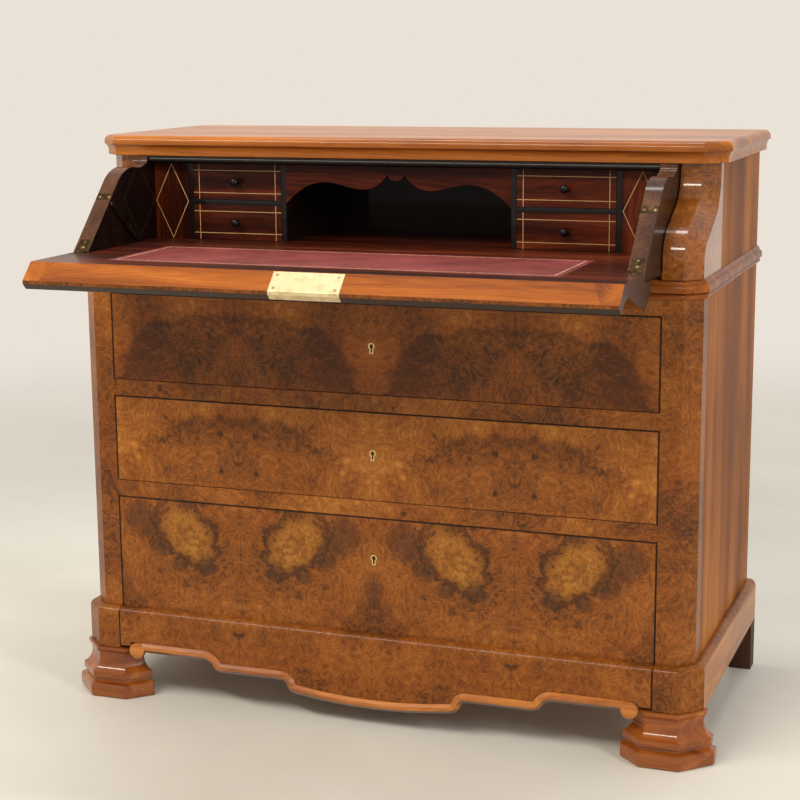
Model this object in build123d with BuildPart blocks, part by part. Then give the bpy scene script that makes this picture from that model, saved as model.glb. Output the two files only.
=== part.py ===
from build123d import *
import os
from math import cos, radians, sin, sqrt, tan

# Fall-front commode: a chest of three long drawers under a pull-out writing box.
#
# Frame, in millimetres: X to the viewer's right, Y towards the wall, Z up. The origin lies on
# the floor, in the middle of the space that the commode takes as it stands in use, with the
# writing box drawn out and the fall let down. Widths are taken from the centre line and
# depths from the front face of the lower case.

os.makedirs("parts", exist_ok=True)

# Clearances and small seats
reveal = 1.2             # the fine gap round each front
running = 0.3            # between pieces that slide on each other
overrun = 5.0            # how far a cutting shape runs past what it cuts
near = 1.0               # an edge this near to a face's rim counts as on it

# Lower case
drawer_half = 490.0      # centre line to the end of a long drawer
post_face = 34.2         # flat front face of a corner post
cant = 26.6              # the post's canted corner, measured along either side
post_depth = 60.0
case_depth = 527.0
panel = 22.0             # side panels
back_board = 10.0
rail_depth = 60.0
rail_height = 28.6       # rails between the long drawers

# Heights, from the floor up
foot_height = 90.5
plinth_height = 76.5
bottom_drawer_height = 205.6
middle_drawer_height = 154.8
top_drawer_height = 155.2
waist_rail_height = 27.0
waist_height = 31.0      # the moulding round the waist
desk_height = 173.2      # from the waist moulding to the underside of the top
top_thickness = 35.0

# Plinth, feet and mouldings
plinth_out = 17.0        # how far the plinth stands out from the case
ovolo_height = 13.0      # quarter round along the plinth's top edge
waist_out = 9.5
top_fillet_out = 12.0
top_nose_out = 18.5
top_nose_step = 1.5      # between the top's cove and its nose
foot_out = 20.0          # how far a front foot stands out from the plinth
rear_foot_width = 43.0
rear_foot_depth = 40.0

# Shaped upper front, taken from the hinge line of the closed fall
hinge_back = 45.0        # the hinge line's place behind the case front when closed
hinge_rise = 25.2        # its height over the waist moulding
ogee_front = 51.5        # foot of the ogee, in front of the hinge line
ogee_setback = 128.5     # from the foot of the ogee to its top
ogee_start = 2.0         # where the lower round begins, over the hinge line
ogee_low_radius = 58.0
ogee_high_radius = 52.0
ogee_slope = 25.0        # degrees over the level, between the two rounds
pilaster_back = 45.0     # pilaster depth behind the ogee's top

# Fall
fall_angle = 135.0       # degrees from closed to open
fall_foot = 22.0         # foot of the closed fall, under the hinge line
foot_flat = 5.0          # level underside of that foot
fall_run = 94.0          # inner face, from the hinge line to the lip, level and upright
lip_height = 43.0
lip_ease = 4.0           # bevel that carries the lip past the top
tail_seat = 14.0         # the part of the rebate that bears on the desk floor
leather_side = 81.0         # from the cheeks to the leather
leather_thick = 1.0
fall_leather_depth = 82.0
desk_leather_depth = 134.0

# Writing box
slide_travel = 167.0
desk_floor_thick = 15.0
cheek_thick = 28.0
box_depth = 456.0
box_top_gap = 0.8
lid_thick = 12.0
lid_rail_back = 225.0    # front of the ebonised rail, behind the hinge line
desk_back_thick = 10.0
small_front_back = 247.6  # plane of the small drawers, behind the hinge line
small_front_thick = 8.0
post_width = 9.0
end_panel = 67.3           # fixed panel between the outer post and the cheek
small_drawer_room = 170.5  # between the two posts on either side
shelf_thick = 8.0
shelf_share = 0.466       # height of the shelf's underside in the desk's height
niche_thick = 8.0

# Long and small drawers
front_thick = 22.0
apron_thick = 22.0
drawer_side = 12.0
drawer_bottom = 8.0       # the bottom board's thickness, and its height over the runners
drawer_box_depth = 455.0
drawer_box_drop = 12.0    # the box stays this much lower than its front
guide_width = 40.0
guide_height = 20.0
small_side = 6.0
small_bottom = 3.0
small_box_drop = 12.0
small_box_clear = 12.0     # behind the small drawers
bottom_board_thick = 18.0
bottom_board_gap = 2.5    # between the apron's back and the bottom board
dust_setback = 12.0       # dust board's front edge, behind the case front

# Sizes that follow from the above
side_half = drawer_half + post_face + cant
post_half = drawer_half + post_face
plinth_top = foot_height + plinth_height
bottom_drawer_top = plinth_top + bottom_drawer_height
middle_drawer_base = bottom_drawer_top + rail_height
middle_drawer_top = middle_drawer_base + middle_drawer_height
top_drawer_base = middle_drawer_top + rail_height
top_drawer_top = top_drawer_base + top_drawer_height
waist_base = top_drawer_top + waist_rail_height
waist_top = waist_base + waist_height
desk_top = waist_top + desk_height
hinge_z = waist_top + hinge_rise
lip_run = fall_run + lip_height                 # lip's edge over the hinge line, when closed
half_root = 1 / sqrt(2)
mitre_share = tan(radians(22.5))                # shift of a corner that turns by 45 degrees
lip_tip = fall_run + lip_run - lip_ease
open_reach = lip_tip * half_root                # hinge line to the open fall's foremost edge
rest_reach = slide_travel - hinge_back + open_reach
front = (rest_reach - case_depth) / 2           # Y of the lower case's front face
back = front + case_depth
hinge_y = front + hinge_back - slide_travel     # as drawn out
ogee_top_y = front + hinge_back - ogee_front + ogee_setback
inner_back = back - back_board
desk_half = drawer_half - reveal
cheek_inner = desk_half - cheek_thick
leather_half = cheek_inner - leather_side
outer_post_half = cheek_inner - end_panel - post_width
inner_post_half = outer_post_half - small_drawer_room - post_width
small_box_start = small_front_back + small_front_thick
small_box_depth = box_depth - desk_back_thick - small_box_start - small_box_clear
desk_inside = desk_top - box_top_gap - hinge_z - lid_thick
floor_base = hinge_z - desk_floor_thick


def keep(piece, name):
    """Label a finished piece and write it under its own name."""
    piece.label = name
    export_step(piece, f"parts/{name}.step")


def block(low, high, mode=Mode.ADD):
    """A straight-sided block between two opposite corners, in the open part."""
    size = [abs(b - a) for a, b in zip(low, high)]
    middle = [(a + b) / 2 for a, b in zip(low, high)]
    with Locations(tuple(middle)):
        Box(*size, mode=mode)


def across(section_x, origin_y, origin_z, turn=0.0):
    """A plane square to X whose own axes are back and up, turned about X by some degrees."""
    back_way = (0, cos(radians(turn)), sin(radians(turn)))
    return Plane(origin=(section_x, origin_y, origin_z), x_dir=back_way, z_dir=(1, 0, 0))


def case_path(face_y):
    """Plan of the case's outside, from the back on the left round to the back on the right."""
    return [
        (-side_half, back),
        (-side_half, face_y + cant),
        (-post_half, face_y),
        (post_half, face_y),
        (side_half, face_y + cant),
        (side_half, back),
    ]


def mitred_runs(path, section, base_z, reach, height):
    """One solid for each straight run of a moulding, mitred where two runs meet."""
    corners = [Vector(x, y) for x, y in path]
    ways = [(b - a).normalized() for a, b in zip(corners, corners[1:])]
    outward = [Vector(way.Y, -way.X) for way in ways]
    mitres = [outward[0]]
    for one, two in zip(outward, outward[1:]):
        mitres.append((one + two) * (1 / (1 + one.dot(two))))
    mitres.append(outward[-1])
    runs = []
    for number, way in enumerate(ways):
        start, end = corners[number], corners[number + 1]
        length = (end - start).length
        foot = end + way * reach
        head = Plane(origin=(foot.X, foot.Y, base_z), x_dir=outward[number], z_dir=-way)
        wedge = [
            start - mitres[number] * reach,
            start + mitres[number] * (reach + overrun),
            end + mitres[number + 1] * (reach + overrun),
            end - mitres[number + 1] * reach,
        ]
        with BuildPart() as run:
            with BuildSketch(head):
                add(section)
            extrude(amount=length + 2 * reach)
            with BuildSketch(Plane.XY.offset(base_z - overrun)):
                Polygon(*[(corner.X, corner.Y) for corner in wedge], align=None)
            extrude(amount=height + 2 * overrun, mode=Mode.INTERSECT)
        runs.append(run.part)
    return runs


# Ogee of the upper front, drawn from the hinge line of the closed fall
def ogee_corners():
    """Ends of the ogee's rounds: first foot, low round's end, high round's start, top."""
    turn = radians(90 + ogee_slope)
    rounds = (ogee_low_radius + ogee_high_radius) * (1 + cos(turn))
    straight = (ogee_setback - rounds) / cos(radians(ogee_slope))
    foot = (-ogee_front, ogee_start)
    low_end = (
        -ogee_front + ogee_low_radius * (1 + cos(turn)),
        ogee_start + ogee_low_radius * sin(turn),
    )
    high_start = (
        low_end[0] + straight * cos(radians(ogee_slope)),
        low_end[1] + straight * sin(radians(ogee_slope)),
    )
    top = (
        high_start[0] + ogee_high_radius * (1 + cos(turn)),
        high_start[1] + ogee_high_radius * sin(turn),
    )
    return foot, low_end, high_start, top


def ogee_edges(base, head):
    """The ogee from a base height up to a head height, as the edges of one line."""
    foot, low_end, high_start, top = ogee_corners()
    sweep_angle = 90 - ogee_slope
    low_centre = (foot[0] + ogee_low_radius, foot[1])
    high_centre = (top[0] - ogee_high_radius, top[1])
    with BuildLine() as ogee:
        Line((foot[0], base), foot)
        CenterArc(low_centre, ogee_low_radius, 180, -sweep_angle)
        Line(low_end, high_start)
        CenterArc(high_centre, ogee_high_radius, -sweep_angle, sweep_angle)
        Line(top, (top[0], head))
    return ogee.line


def hinged(forward, up):
    """A point of the open fall, given forward of and over the hinge, as the closed one has it."""
    return ((forward + up) * half_root, (forward - up) * half_root)


def turned_with_flats(foot, shares, radius, length, sides):
    """A turned piece drawn with flats: rings of one polygon, joined by flat four-sided faces."""
    rings = []
    for width_share, length_share in shares:
        with BuildSketch(foot.offset(length_share * length)) as ring:
            RegularPolygon(width_share * radius, sides)
        rings.append(ring.sketch.faces()[0])
    skin = [rings[0], rings[-1]]
    for low_ring, high_ring in zip(rings, rings[1:]):
        for low, high in zip(low_ring.outer_wire().edges(), high_ring.outer_wire().edges()):
            skin.append(Face(Wire.make_polygon([low @ 0, low @ 1, high @ 1, high @ 0])))
    return Solid(Shell(skin))


# Mouldings of the case
with BuildSketch() as plinth_section:
    with BuildLine():
        face_top = plinth_height - ovolo_height
        Line((0, 0), (plinth_out, 0))
        Line((plinth_out, 0), (plinth_out, face_top))
        RadiusArc((plinth_out, face_top), (plinth_out - ovolo_height, plinth_height),
                  -ovolo_height)
        Line((plinth_out - ovolo_height, plinth_height), (0, plinth_height))
        Line((0, plinth_height), (0, 0))
    make_face()

waist_fillet_share = 0.25
bead_out_share = 0.68
bead_top_share = 0.29
groove_share = 0.35
crown_share = 0.55
reed_middle_share = 0.76
round_share = 0.67
hollow_share = 0.75
with BuildSketch() as waist_section:
    with BuildLine():
        fillet_out = waist_out * waist_fillet_share
        bead_top = waist_height * bead_top_share
        groove_top = waist_height * groove_share
        crown = waist_height * crown_share
        reed_middle = (waist_out / 2, waist_height * reed_middle_share)
        Line((0, 0), (fillet_out, 0))
        ThreePointArc((fillet_out, 0), (waist_out * bead_out_share, bead_top / 2),
                      (fillet_out, bead_top))
        Line((fillet_out, bead_top), (fillet_out, groove_top))
        Line((fillet_out, groove_top), (waist_out, groove_top))
        Line((waist_out, groove_top), (waist_out, crown))
        RadiusArc((waist_out, crown), reed_middle, -waist_out * round_share)
        RadiusArc(reed_middle, (0, waist_height), -waist_out * hollow_share)
        Line((0, waist_height), (0, 0))
    make_face()

fillet_share = 0.2
cove_share = 0.54
nose_share = 0.66
with BuildSketch() as top_section:
    with BuildLine():
        fillet_top = top_thickness * fillet_share
        cove_top = top_thickness * cove_share
        nose_low = top_thickness * nose_share
        nose_radius = top_thickness - nose_low
        Line((0, 0), (top_fillet_out, 0))
        Line((top_fillet_out, 0), (top_fillet_out, fillet_top))
        cove_out = top_nose_out - top_nose_step
        RadiusArc((top_fillet_out, fillet_top), (cove_out, cove_top), top_thickness / 2)
        Line((cove_out, cove_top), (top_nose_out, cove_top))
        Line((top_nose_out, cove_top), (top_nose_out, nose_low))
        RadiusArc((top_nose_out, nose_low), (top_nose_out - nose_radius, top_thickness),
                  -nose_radius)
        Line((top_nose_out - nose_radius, top_thickness), (0, top_thickness))
        Line((0, top_thickness), (0, 0))
    make_face()

waist_runs = mitred_runs(case_path(front), waist_section.sketch, waist_base,
                         waist_out + overrun, waist_height)
keep(Compound(children=waist_runs), "waist_moulding")

top_runs = mitred_runs(case_path(ogee_top_y), top_section.sketch, desk_top,
                       top_nose_out + overrun, top_thickness)
with BuildPart() as top_board:
    with BuildSketch(Plane.XY.offset(desk_top)):
        Polygon(*case_path(ogee_top_y), align=None)
    extrude(amount=top_thickness)
    add(top_runs)
keep(top_board.part, "top_board")


# Case pieces that come in pairs, made on the right and mirrored for the left
with BuildPart() as corner_post:
    with BuildSketch(Plane.XY.offset(foot_height)):
        Polygon(
            (drawer_half, front),
            (post_half, front),
            (side_half, front + cant),
            (side_half, front + post_depth),
            (drawer_half, front + post_depth),
            align=None,
        )
    extrude(amount=waist_top - foot_height)

pilaster_rear = ogee_setback - ogee_front + pilaster_back   # behind the hinge line
pilaster_end = front + hinge_back + pilaster_rear
with BuildPart() as pilaster:
    with BuildSketch(across(drawer_half, front + hinge_back, hinge_z)):
        with BuildLine():
            ogee_low = waist_top - hinge_z
            ogee_high = desk_top - hinge_z
            add(ogee_edges(ogee_low, ogee_high))
            Polyline(
                (ogee_setback - ogee_front, ogee_high),
                (pilaster_rear, ogee_high),
                (pilaster_rear, ogee_low),
                (-ogee_front, ogee_low),
            )
        make_face()
    extrude(amount=side_half - drawer_half)
    outer_face = pilaster.faces().sort_by(Axis.X)[-1]
    ogee_rim = outer_face.edges().filter_by(
        lambda edge: edge.center().Y < pilaster_end - near
        and waist_top + near < edge.center().Z < desk_top - near
    )
    chamfer(ogee_rim, length=cant)

with BuildPart() as side_panel:
    with BuildSketch(across(side_half - panel, 0, 0)):
        Polygon(
            (front + post_depth, foot_height),
            (back, foot_height),
            (back, desk_top),
            (pilaster_end, desk_top),
            (pilaster_end, waist_top),
            (front + post_depth, waist_top),
            align=None,
        )
    extrude(amount=panel)

corner_path = [
    (drawer_half, front), (post_half, front), (side_half, front + cant), (side_half, back),
]
plinth_runs = mitred_runs(corner_path, plinth_section.sketch, foot_height,
                          plinth_out + overrun, plinth_height)
plinth = Compound(children=plinth_runs)

# Front feet: eight-sided and shaped, sawn flat behind and on the inner side
foot_face = 68.0         # width of the foot's front face, at its block
foot_side_back = 34.0    # the sawn back at the outer side, behind the case front
foot_inner_back = 4.0    # the sawn back at the inner end
foot_inner_in = 56.0     # the foot's inner end, inside the drawer's end
sole_rise_share = 0.03   # heights up the foot, and how far out its rings stand
block_rise_share = 0.28
groove_rise_share = 0.32
ring_rise_share = 0.39
flare_rise_share = 0.51
neck_rise_share = 0.80
crown_rise_share = 0.94
sole_out_share = 0.86
belly_out_share = 1.06
groove_out_share = 0.56
ring_out_share = 0.76
neck_out_share = 0.02
crown_out_share = 0.27
flare_slope_share = 0.5  # how steeply the neck's hollow leaves the ring
with BuildSketch() as foot_section:
    with BuildLine():
        sole_rise = foot_height * sole_rise_share
        block_rise = foot_height * block_rise_share
        ring_rise = foot_height * ring_rise_share
        flare = (foot_out * ring_out_share, foot_height * flare_rise_share)
        neck = (foot_out * neck_out_share, foot_height * neck_rise_share)
        crown = (foot_out * crown_out_share, foot_height * crown_rise_share)
        groove_out = foot_out * groove_out_share
        Polyline((-side_half, foot_height), (-side_half, 0), (foot_out * sole_out_share, 0),
                 (foot_out, sole_rise))
        ThreePointArc((foot_out, sole_rise),
                      (foot_out * belly_out_share, (sole_rise + block_rise) / 2),
                      (foot_out, block_rise))
        Polyline((foot_out, block_rise), (groove_out, foot_height * groove_rise_share),
                 (groove_out, ring_rise), (flare[0], ring_rise), flare)
        TangentArc(flare, neck, tangent=(-1, flare_slope_share))
        TangentArc(neck, crown, tangent=(0, 1))
        Polyline(crown, (crown[0], foot_height), (-side_half, foot_height))
    make_face()

plinth_mitre = plinth_out * mitre_share
block_mitre = (plinth_out + foot_out) * mitre_share
inner_start = post_half + block_mitre - foot_face
foot_planes = [
    ((0, -1), (post_half, front - plinth_out)),
    ((1, 0), (side_half + plinth_out, front)),
    ((half_root, -half_root), (post_half + plinth_mitre, front - plinth_out)),
    ((-half_root, -half_root), (inner_start + foot_out * half_root,
                                front - plinth_out - foot_out * (1 - half_root))),
]
with BuildPart() as front_foot:
    with BuildSketch():
        fore_y = front - plinth_out - foot_out - overrun
        outer_x = side_half + plinth_out + foot_out + overrun
        Polygon((drawer_half - foot_inner_in, fore_y), (outer_x, fore_y),
                (outer_x, front + foot_side_back),
                (drawer_half - foot_inner_in, front + foot_inner_back), align=None)
    extrude(amount=foot_height)
    for way, place in foot_planes:
        face_plane = Plane(origin=(*place, 0), x_dir=(*way, 0), z_dir=(way[1], -way[0], 0))
        with BuildSketch(face_plane):
            add(foot_section.sketch)
        extrude(amount=side_half * 2, both=True, mode=Mode.INTERSECT)

rear_foot_taper = 3.0    # the foot's front and inner faces draw in this much to the floor
with BuildPart() as rear_foot:
    outer_x = side_half + plinth_out
    with BuildSketch(Plane.XY.offset(foot_height)):
        Polygon((outer_x - rear_foot_width, back - rear_foot_depth),
                (outer_x, back - rear_foot_depth), (outer_x, back),
                (outer_x - rear_foot_width, back), align=None)
    with BuildSketch(Plane.XY):
        sole_x = outer_x - rear_foot_width + rear_foot_taper
        sole_y = back - rear_foot_depth + rear_foot_taper
        Polygon((sole_x, sole_y), (outer_x, sole_y), (outer_x, back), (sole_x, back), align=None)
    loft(ruled=True)

pairs = {
    "corner_post": corner_post.part,
    "shaped_pilaster": pilaster.part,
    "side_panel": side_panel.part,
    "plinth": plinth,
    "front_foot": front_foot.part,
}
for pair_name, right_piece in pairs.items():
    keep(right_piece, f"{pair_name}_right")
    keep(mirror(right_piece, about=Plane.YZ), f"{pair_name}_left")
keep(Compound(children=[rear_foot.part, mirror(rear_foot.part, about=Plane.YZ)]), "rear_feet")

# Rails, runners and boards inside the case
inner_half = side_half - panel
rails = []
rail_heights = [(middle_drawer_top, top_drawer_base), (bottom_drawer_top, middle_drawer_base),
                (top_drawer_top, waist_top)]
for low, high in rail_heights:
    with BuildPart() as rail:
        block((-drawer_half, front, low), (drawer_half, front + rail_depth, high))
    rails.append(rail.part)
keep(Compound(children=rails), "drawer_rails")

board_top = plinth_top - reveal
drawer_bases = [board_top, middle_drawer_base, top_drawer_base]
runner_front = front + post_depth
runners = []
for base in drawer_bases[1:]:
    with BuildPart() as runner:
        with BuildSketch(Plane.XZ.offset(-runner_front)):
            guide_x = desk_half + running
            Polygon((drawer_half - guide_width / 2, base - guide_height),
                    (inner_half, base - guide_height), (inner_half, base + guide_height),
                    (guide_x, base + guide_height), (guide_x, base),
                    (drawer_half - guide_width / 2, base), align=None)
        extrude(amount=-(inner_back - runner_front))
    runners += [runner.part, mirror(runner.part, about=Plane.YZ)]
with BuildPart() as low_guide:
    block((desk_half + running, runner_front, board_top),
          (inner_half, inner_back, board_top + guide_height))
runners += [low_guide.part, mirror(low_guide.part, about=Plane.YZ)]
keep(Compound(children=runners), "drawer_runners")

apron_back = front - plinth_out + apron_thick
board_front = apron_back + bottom_board_gap
with BuildPart() as bottom_board:
    with BuildSketch(Plane.XY.offset(board_top - bottom_board_thick)):
        half_plan = [(drawer_half, board_front), (drawer_half, runner_front),
                     (inner_half, runner_front), (inner_half, inner_back)]
        Polygon(*half_plan, *[(-x, y) for x, y in reversed(half_plan)], align=None)
    extrude(amount=bottom_board_thick)
keep(bottom_board.part, "bottom_board")

dust_front = front + dust_setback
with BuildPart() as dust_board:
    with BuildSketch(Plane.XY.offset(waist_top)):
        half_plan = [(desk_half, dust_front), (desk_half, pilaster_end),
                     (inner_half, pilaster_end), (inner_half, inner_back)]
        Polygon(*half_plan, *[(-x, y) for x, y in reversed(half_plan)], align=None)
    extrude(amount=floor_base - running - waist_top)
keep(dust_board.part, "dust_board")

with BuildPart() as back_panel:
    block((-inner_half, inner_back, foot_height), (inner_half, back, desk_top))
keep(back_panel.part, "back_panel")


# Locks and their thin keyhole linings
key_drop = 72.0          # keyhole under the drawer's top edge
key_round = 4.0
key_slot = 3.2
key_length = 11.0
lining = 1.6
lining_depth = 3.0
lock_half = 30.0
lock_below = 20.0        # lock case under the keyhole
lock_thick = 10.0


def keyhole(wall):
    """A keyhole's outline, its round over its slot, grown by a wall."""
    with BuildSketch() as outline:
        Circle(key_round + wall)
        with Locations((0, -key_length / 2)):
            Rectangle(key_slot + 2 * wall, key_length + 2 * wall)
    return outline.sketch


# Long drawers
apron_clear = 51.0        # floor to the middle of the apron, over its bead
belly_half_share = 0.292   # of the drawer's half width
belly_sag = 11.0
inner_step = (28.0, 22.0)  # width and rise of the step beside the belly
shelf_half_share = 0.588
outer_step = (34.0, 20.5)
scroll_in = 37.0          # middle of the bead's scroll, inside the drawer's end
scroll_radius = 14.5
bead_high = 17.0
bead_proud = 5.0
bead_depth = 19.0
scroll_depth = 8.0
bead_bevel = 5.5          # along both front edges of the bead
apron_end_rise = 6.0      # the apron's end, over the plinth's underside

belly_half = drawer_half * belly_half_share
shelf_half = drawer_half * shelf_half_share
scroll_x = drawer_half - scroll_in
belly_end = apron_clear + belly_sag
shelf_z = belly_end + inner_step[1]
arch_z = shelf_z + outer_step[1]
apron_end_z = foot_height + apron_end_rise

def half_apron(side):
    """The apron's lower line on one side, from the scroll to the belly's end."""
    outer_x = side * (shelf_half + outer_step[0])
    inner_x = side * (belly_half + inner_step[0])
    Line((side * scroll_x, arch_z), (outer_x, arch_z))
    TangentArc((outer_x, arch_z), (side * shelf_half, shelf_z), tangent=(-side, 0))
    Line((side * shelf_half, shelf_z), (inner_x, shelf_z))
    TangentArc((inner_x, shelf_z), (side * belly_half, belly_end), tangent=(-side, 0))


drawer_names = ["bottom_drawer", "middle_drawer", "top_drawer"]
drawer_tops = [bottom_drawer_top, middle_drawer_top, top_drawer_top]
front_back = front + front_thick
for name, base, top in zip(drawer_names, drawer_bases, drawer_tops):
    key_z = top - key_drop
    case_low = (-lock_half, front_back - lock_thick, key_z - lock_below)
    case_high = (lock_half, front_back, top - reveal)
    face = Plane(origin=(0, front, key_z), x_dir=(1, 0, 0), z_dir=(0, -1, 0))
    with BuildPart() as drawer_front:
        if name == "bottom_drawer":
            with BuildSketch(Plane.XZ.offset(plinth_out - front)):
                with BuildLine():
                    half_apron(1)
                    ThreePointArc((belly_half, belly_end), (0, apron_clear),
                                  (-belly_half, belly_end))
                    half_apron(-1)
                    for side in (1, -1):
                        Polyline((side * scroll_x, arch_z),
                                 (side * (scroll_x + scroll_radius), arch_z),
                                 (side * (scroll_x + scroll_radius), apron_end_z),
                                 (side * desk_half, apron_end_z),
                                 (side * desk_half, plinth_top))
                    Line((-desk_half, plinth_top), (desk_half, plinth_top))
                make_face()
            extrude(amount=-apron_thick)
            long_edges = drawer_front.edges().filter_by(Axis.X).group_by(Axis.Z)[-1]
            fillet(long_edges.sort_by(Axis.Y)[0], radius=ovolo_height)
            block((-desk_half, front, plinth_top), (desk_half, front_back, top - reveal))
        else:
            block((-desk_half, front, base + reveal), (desk_half, front_back, top - reveal))
        block(case_low, case_high, mode=Mode.SUBTRACT)
        with BuildSketch(face):
            add(keyhole(0))
        extrude(amount=-front_thick, mode=Mode.SUBTRACT)
        with BuildSketch(face):
            add(keyhole(lining))
        extrude(amount=-lining_depth, mode=Mode.SUBTRACT)
    keep(drawer_front.part, f"{name}_front")

    with BuildPart() as lining_ring:
        with BuildSketch(face):
            add(keyhole(lining))
            add(keyhole(0), mode=Mode.SUBTRACT)
        extrude(amount=-lining_depth)
    with BuildPart() as lock_case:
        block(case_low, case_high)
    keep(Compound(children=[lining_ring.part, lock_case.part]), f"{name}_lock")

    side_top = top - drawer_box_drop
    drawer_rear = front_back + drawer_box_depth
    tray_z = base + drawer_bottom
    with BuildPart() as right_side:
        block((desk_half - drawer_side, front_back, base + running),
              (desk_half, drawer_rear, side_top))
    with BuildPart() as box_back:
        block((drawer_side - desk_half, drawer_rear - drawer_side, tray_z + drawer_bottom),
              (desk_half - drawer_side, drawer_rear, side_top))
    with BuildPart() as tray:
        block((drawer_side - desk_half, front_back, tray_z),
              (desk_half - drawer_side, drawer_rear, tray_z + drawer_bottom))
    keep(Compound(children=[right_side.part, mirror(right_side.part, about=Plane.YZ),
                            box_back.part, tray.part]), f"{name}_box")

bead_face = plinth_out + bead_proud - front
with BuildPart() as apron_bead:
    with BuildSketch(Plane.XZ.offset(bead_face)) as bead_band:
        with BuildLine():
            half_apron(1)
            ThreePointArc((belly_half, belly_end), (0, apron_clear), (-belly_half, belly_end))
            half_apron(-1)
            Polyline((scroll_x, arch_z), (desk_half, arch_z), (desk_half, plinth_top),
                     (-desk_half, plinth_top), (-desk_half, arch_z), (-scroll_x, arch_z))
        make_face()
        apron_face = bead_band.sketch
        offset(amount=bead_high, kind=Kind.ARC)
        with Locations((0, arch_z / 2)):
            Rectangle(2 * scroll_x, arch_z, mode=Mode.INTERSECT)
        add(apron_face, mode=Mode.SUBTRACT)
    extrude(amount=-bead_depth)
    face_edges = apron_bead.faces().sort_by(Axis.Y)[0].edges()
    chamfer(face_edges.filter_by(lambda edge: abs(edge.center().X) < scroll_x - near),
            length=bead_bevel)
    with BuildSketch(Plane.XZ.offset(bead_face)):
        with Locations((scroll_x, arch_z - scroll_radius), (-scroll_x, arch_z - scroll_radius)):
            Circle(scroll_radius)
    extrude(amount=-scroll_depth)
keep(apron_bead.part, "apron_bead")


# Writing box: floor, cheeks, back and lid
def box_at(back_of_hinge):
    """Y of a place in the writing box, given behind the hinge line."""
    return hinge_y + back_of_hinge


knuckle_radius = 3.0
knuckle_length = 9.8
knuckle_start = 4.0       # from the cheek's inner face
leaf_length = 28.0
leaf_thick = 1.5
fall_gap = 0.5            # between the closed fall and the cheeks' front edges
box_rear = box_at(box_depth)
box_top = hinge_z + desk_inside + lid_thick

with BuildPart() as desk_floor:
    block((-cheek_inner, box_at(running), floor_base), (cheek_inner, box_rear, hinge_z))
    block((-leather_half, box_at(0), hinge_z - leather_thick),
          (leather_half, box_at(desk_leather_depth), hinge_z), mode=Mode.SUBTRACT)
keep(desk_floor.part, "desk_floor")

with BuildPart() as desk_leather:
    block((-leather_half, box_at(running), hinge_z - leather_thick),
          (leather_half, box_at(desk_leather_depth), hinge_z))
keep(desk_leather.part, "desk_leather")

# The cheek's front edge runs up at half a right angle, over a round shoulder and a shallow
# dip, and turns upright under the lid. Its points are shares of the cheek's height.
cheek_shares = [(0.76, 0.76), (0.91, 0.855), (1.10, 0.898), (1.31, 0.882), (1.45, 0.92),
                (1.50, 1.0)]
cheek_high = box_top - hinge_z
with BuildPart() as cheek:
    with BuildSketch(across(cheek_inner, hinge_y, hinge_z)):
        with BuildLine():
            slope_shift = fall_gap * sqrt(2)
            edge_points = [(y * cheek_high + slope_shift, z * cheek_high)
                           for y, z in cheek_shares]
            foot_point = (slope_shift, 0)
            Line(foot_point, edge_points[0])
            Spline(*edge_points, tangents=[(1, 1), (0, 1)])
            Polyline(edge_points[-1], (box_depth, cheek_high), (box_depth, -desk_floor_thick),
                     (slope_shift, -desk_floor_thick), foot_point)
        make_face()
    extrude(amount=cheek_thick)
    slope = Plane(origin=(cheek_inner, box_at(slope_shift), hinge_z), x_dir=(1, 0, 0),
                  z_dir=(0, -half_root, half_root))
    knuckle_axis = across(cheek_inner, hinge_y, hinge_z)
    with BuildSketch(knuckle_axis):
        Circle(knuckle_radius + running)
    extrude(amount=knuckle_start + 2 * knuckle_length + 2 * running, mode=Mode.SUBTRACT)
    leaf_middle = (knuckle_start + knuckle_length, leaf_length / 2)
    with BuildSketch(slope):
        with Locations(leaf_middle):
            Rectangle(2 * knuckle_length, leaf_length)
    extrude(amount=-leaf_thick, mode=Mode.SUBTRACT)

# Catches: a plate across the cheek's edge, and a stud that carries the lever
catch_along = 122.0       # plate's middle, up the slope from the hinge line
catch_plate_long = 14.0
catch_plate_thick = 1.2
stud_radius = 4.0
stud_head_radius = 6.5
stud_head = 1.5
lever_thick = 3.0
lever_wide = 10.0
lever_boss_radius = 8.0
lever_fit = 0.08
pivot = (145.0, 28.0)     # behind and over the hinge line
lever_top = (86.5, 73.5)
lever_low = (169.0, 9.0)

with BuildPart() as catch_plate:
    with BuildSketch(slope):
        with Locations((cheek_thick / 2, catch_along)):
            Rectangle(cheek_thick, catch_plate_long)
    extrude(amount=-catch_plate_thick)
lever_face = cheek_inner - running
stud_length = running + lever_thick + running
with BuildPart() as stud:
    with BuildSketch(across(cheek_inner, box_at(pivot[0]), hinge_z + pivot[1])):
        Circle(stud_radius)
    extrude(amount=-stud_length)
    with BuildSketch(across(cheek_inner - stud_length, box_at(pivot[0]), hinge_z + pivot[1])):
        Circle(stud_head_radius)
    extrude(amount=-stud_head)
    chamfer(stud.faces().sort_by(Axis.X)[0].edges(), length=stud_head / 2)
with BuildPart() as catch_lever:
    with BuildSketch(across(lever_face, hinge_y, hinge_z)):
        lever_middle = (Vector(*lever_top) + Vector(*lever_low)) / 2
        SlotCenterPoint((lever_middle.X, lever_middle.Y), lever_low, lever_wide)
        with Locations(pivot):
            Circle(lever_boss_radius)
            Circle(stud_radius + lever_fit, mode=Mode.SUBTRACT)
    extrude(amount=-lever_thick)

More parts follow.
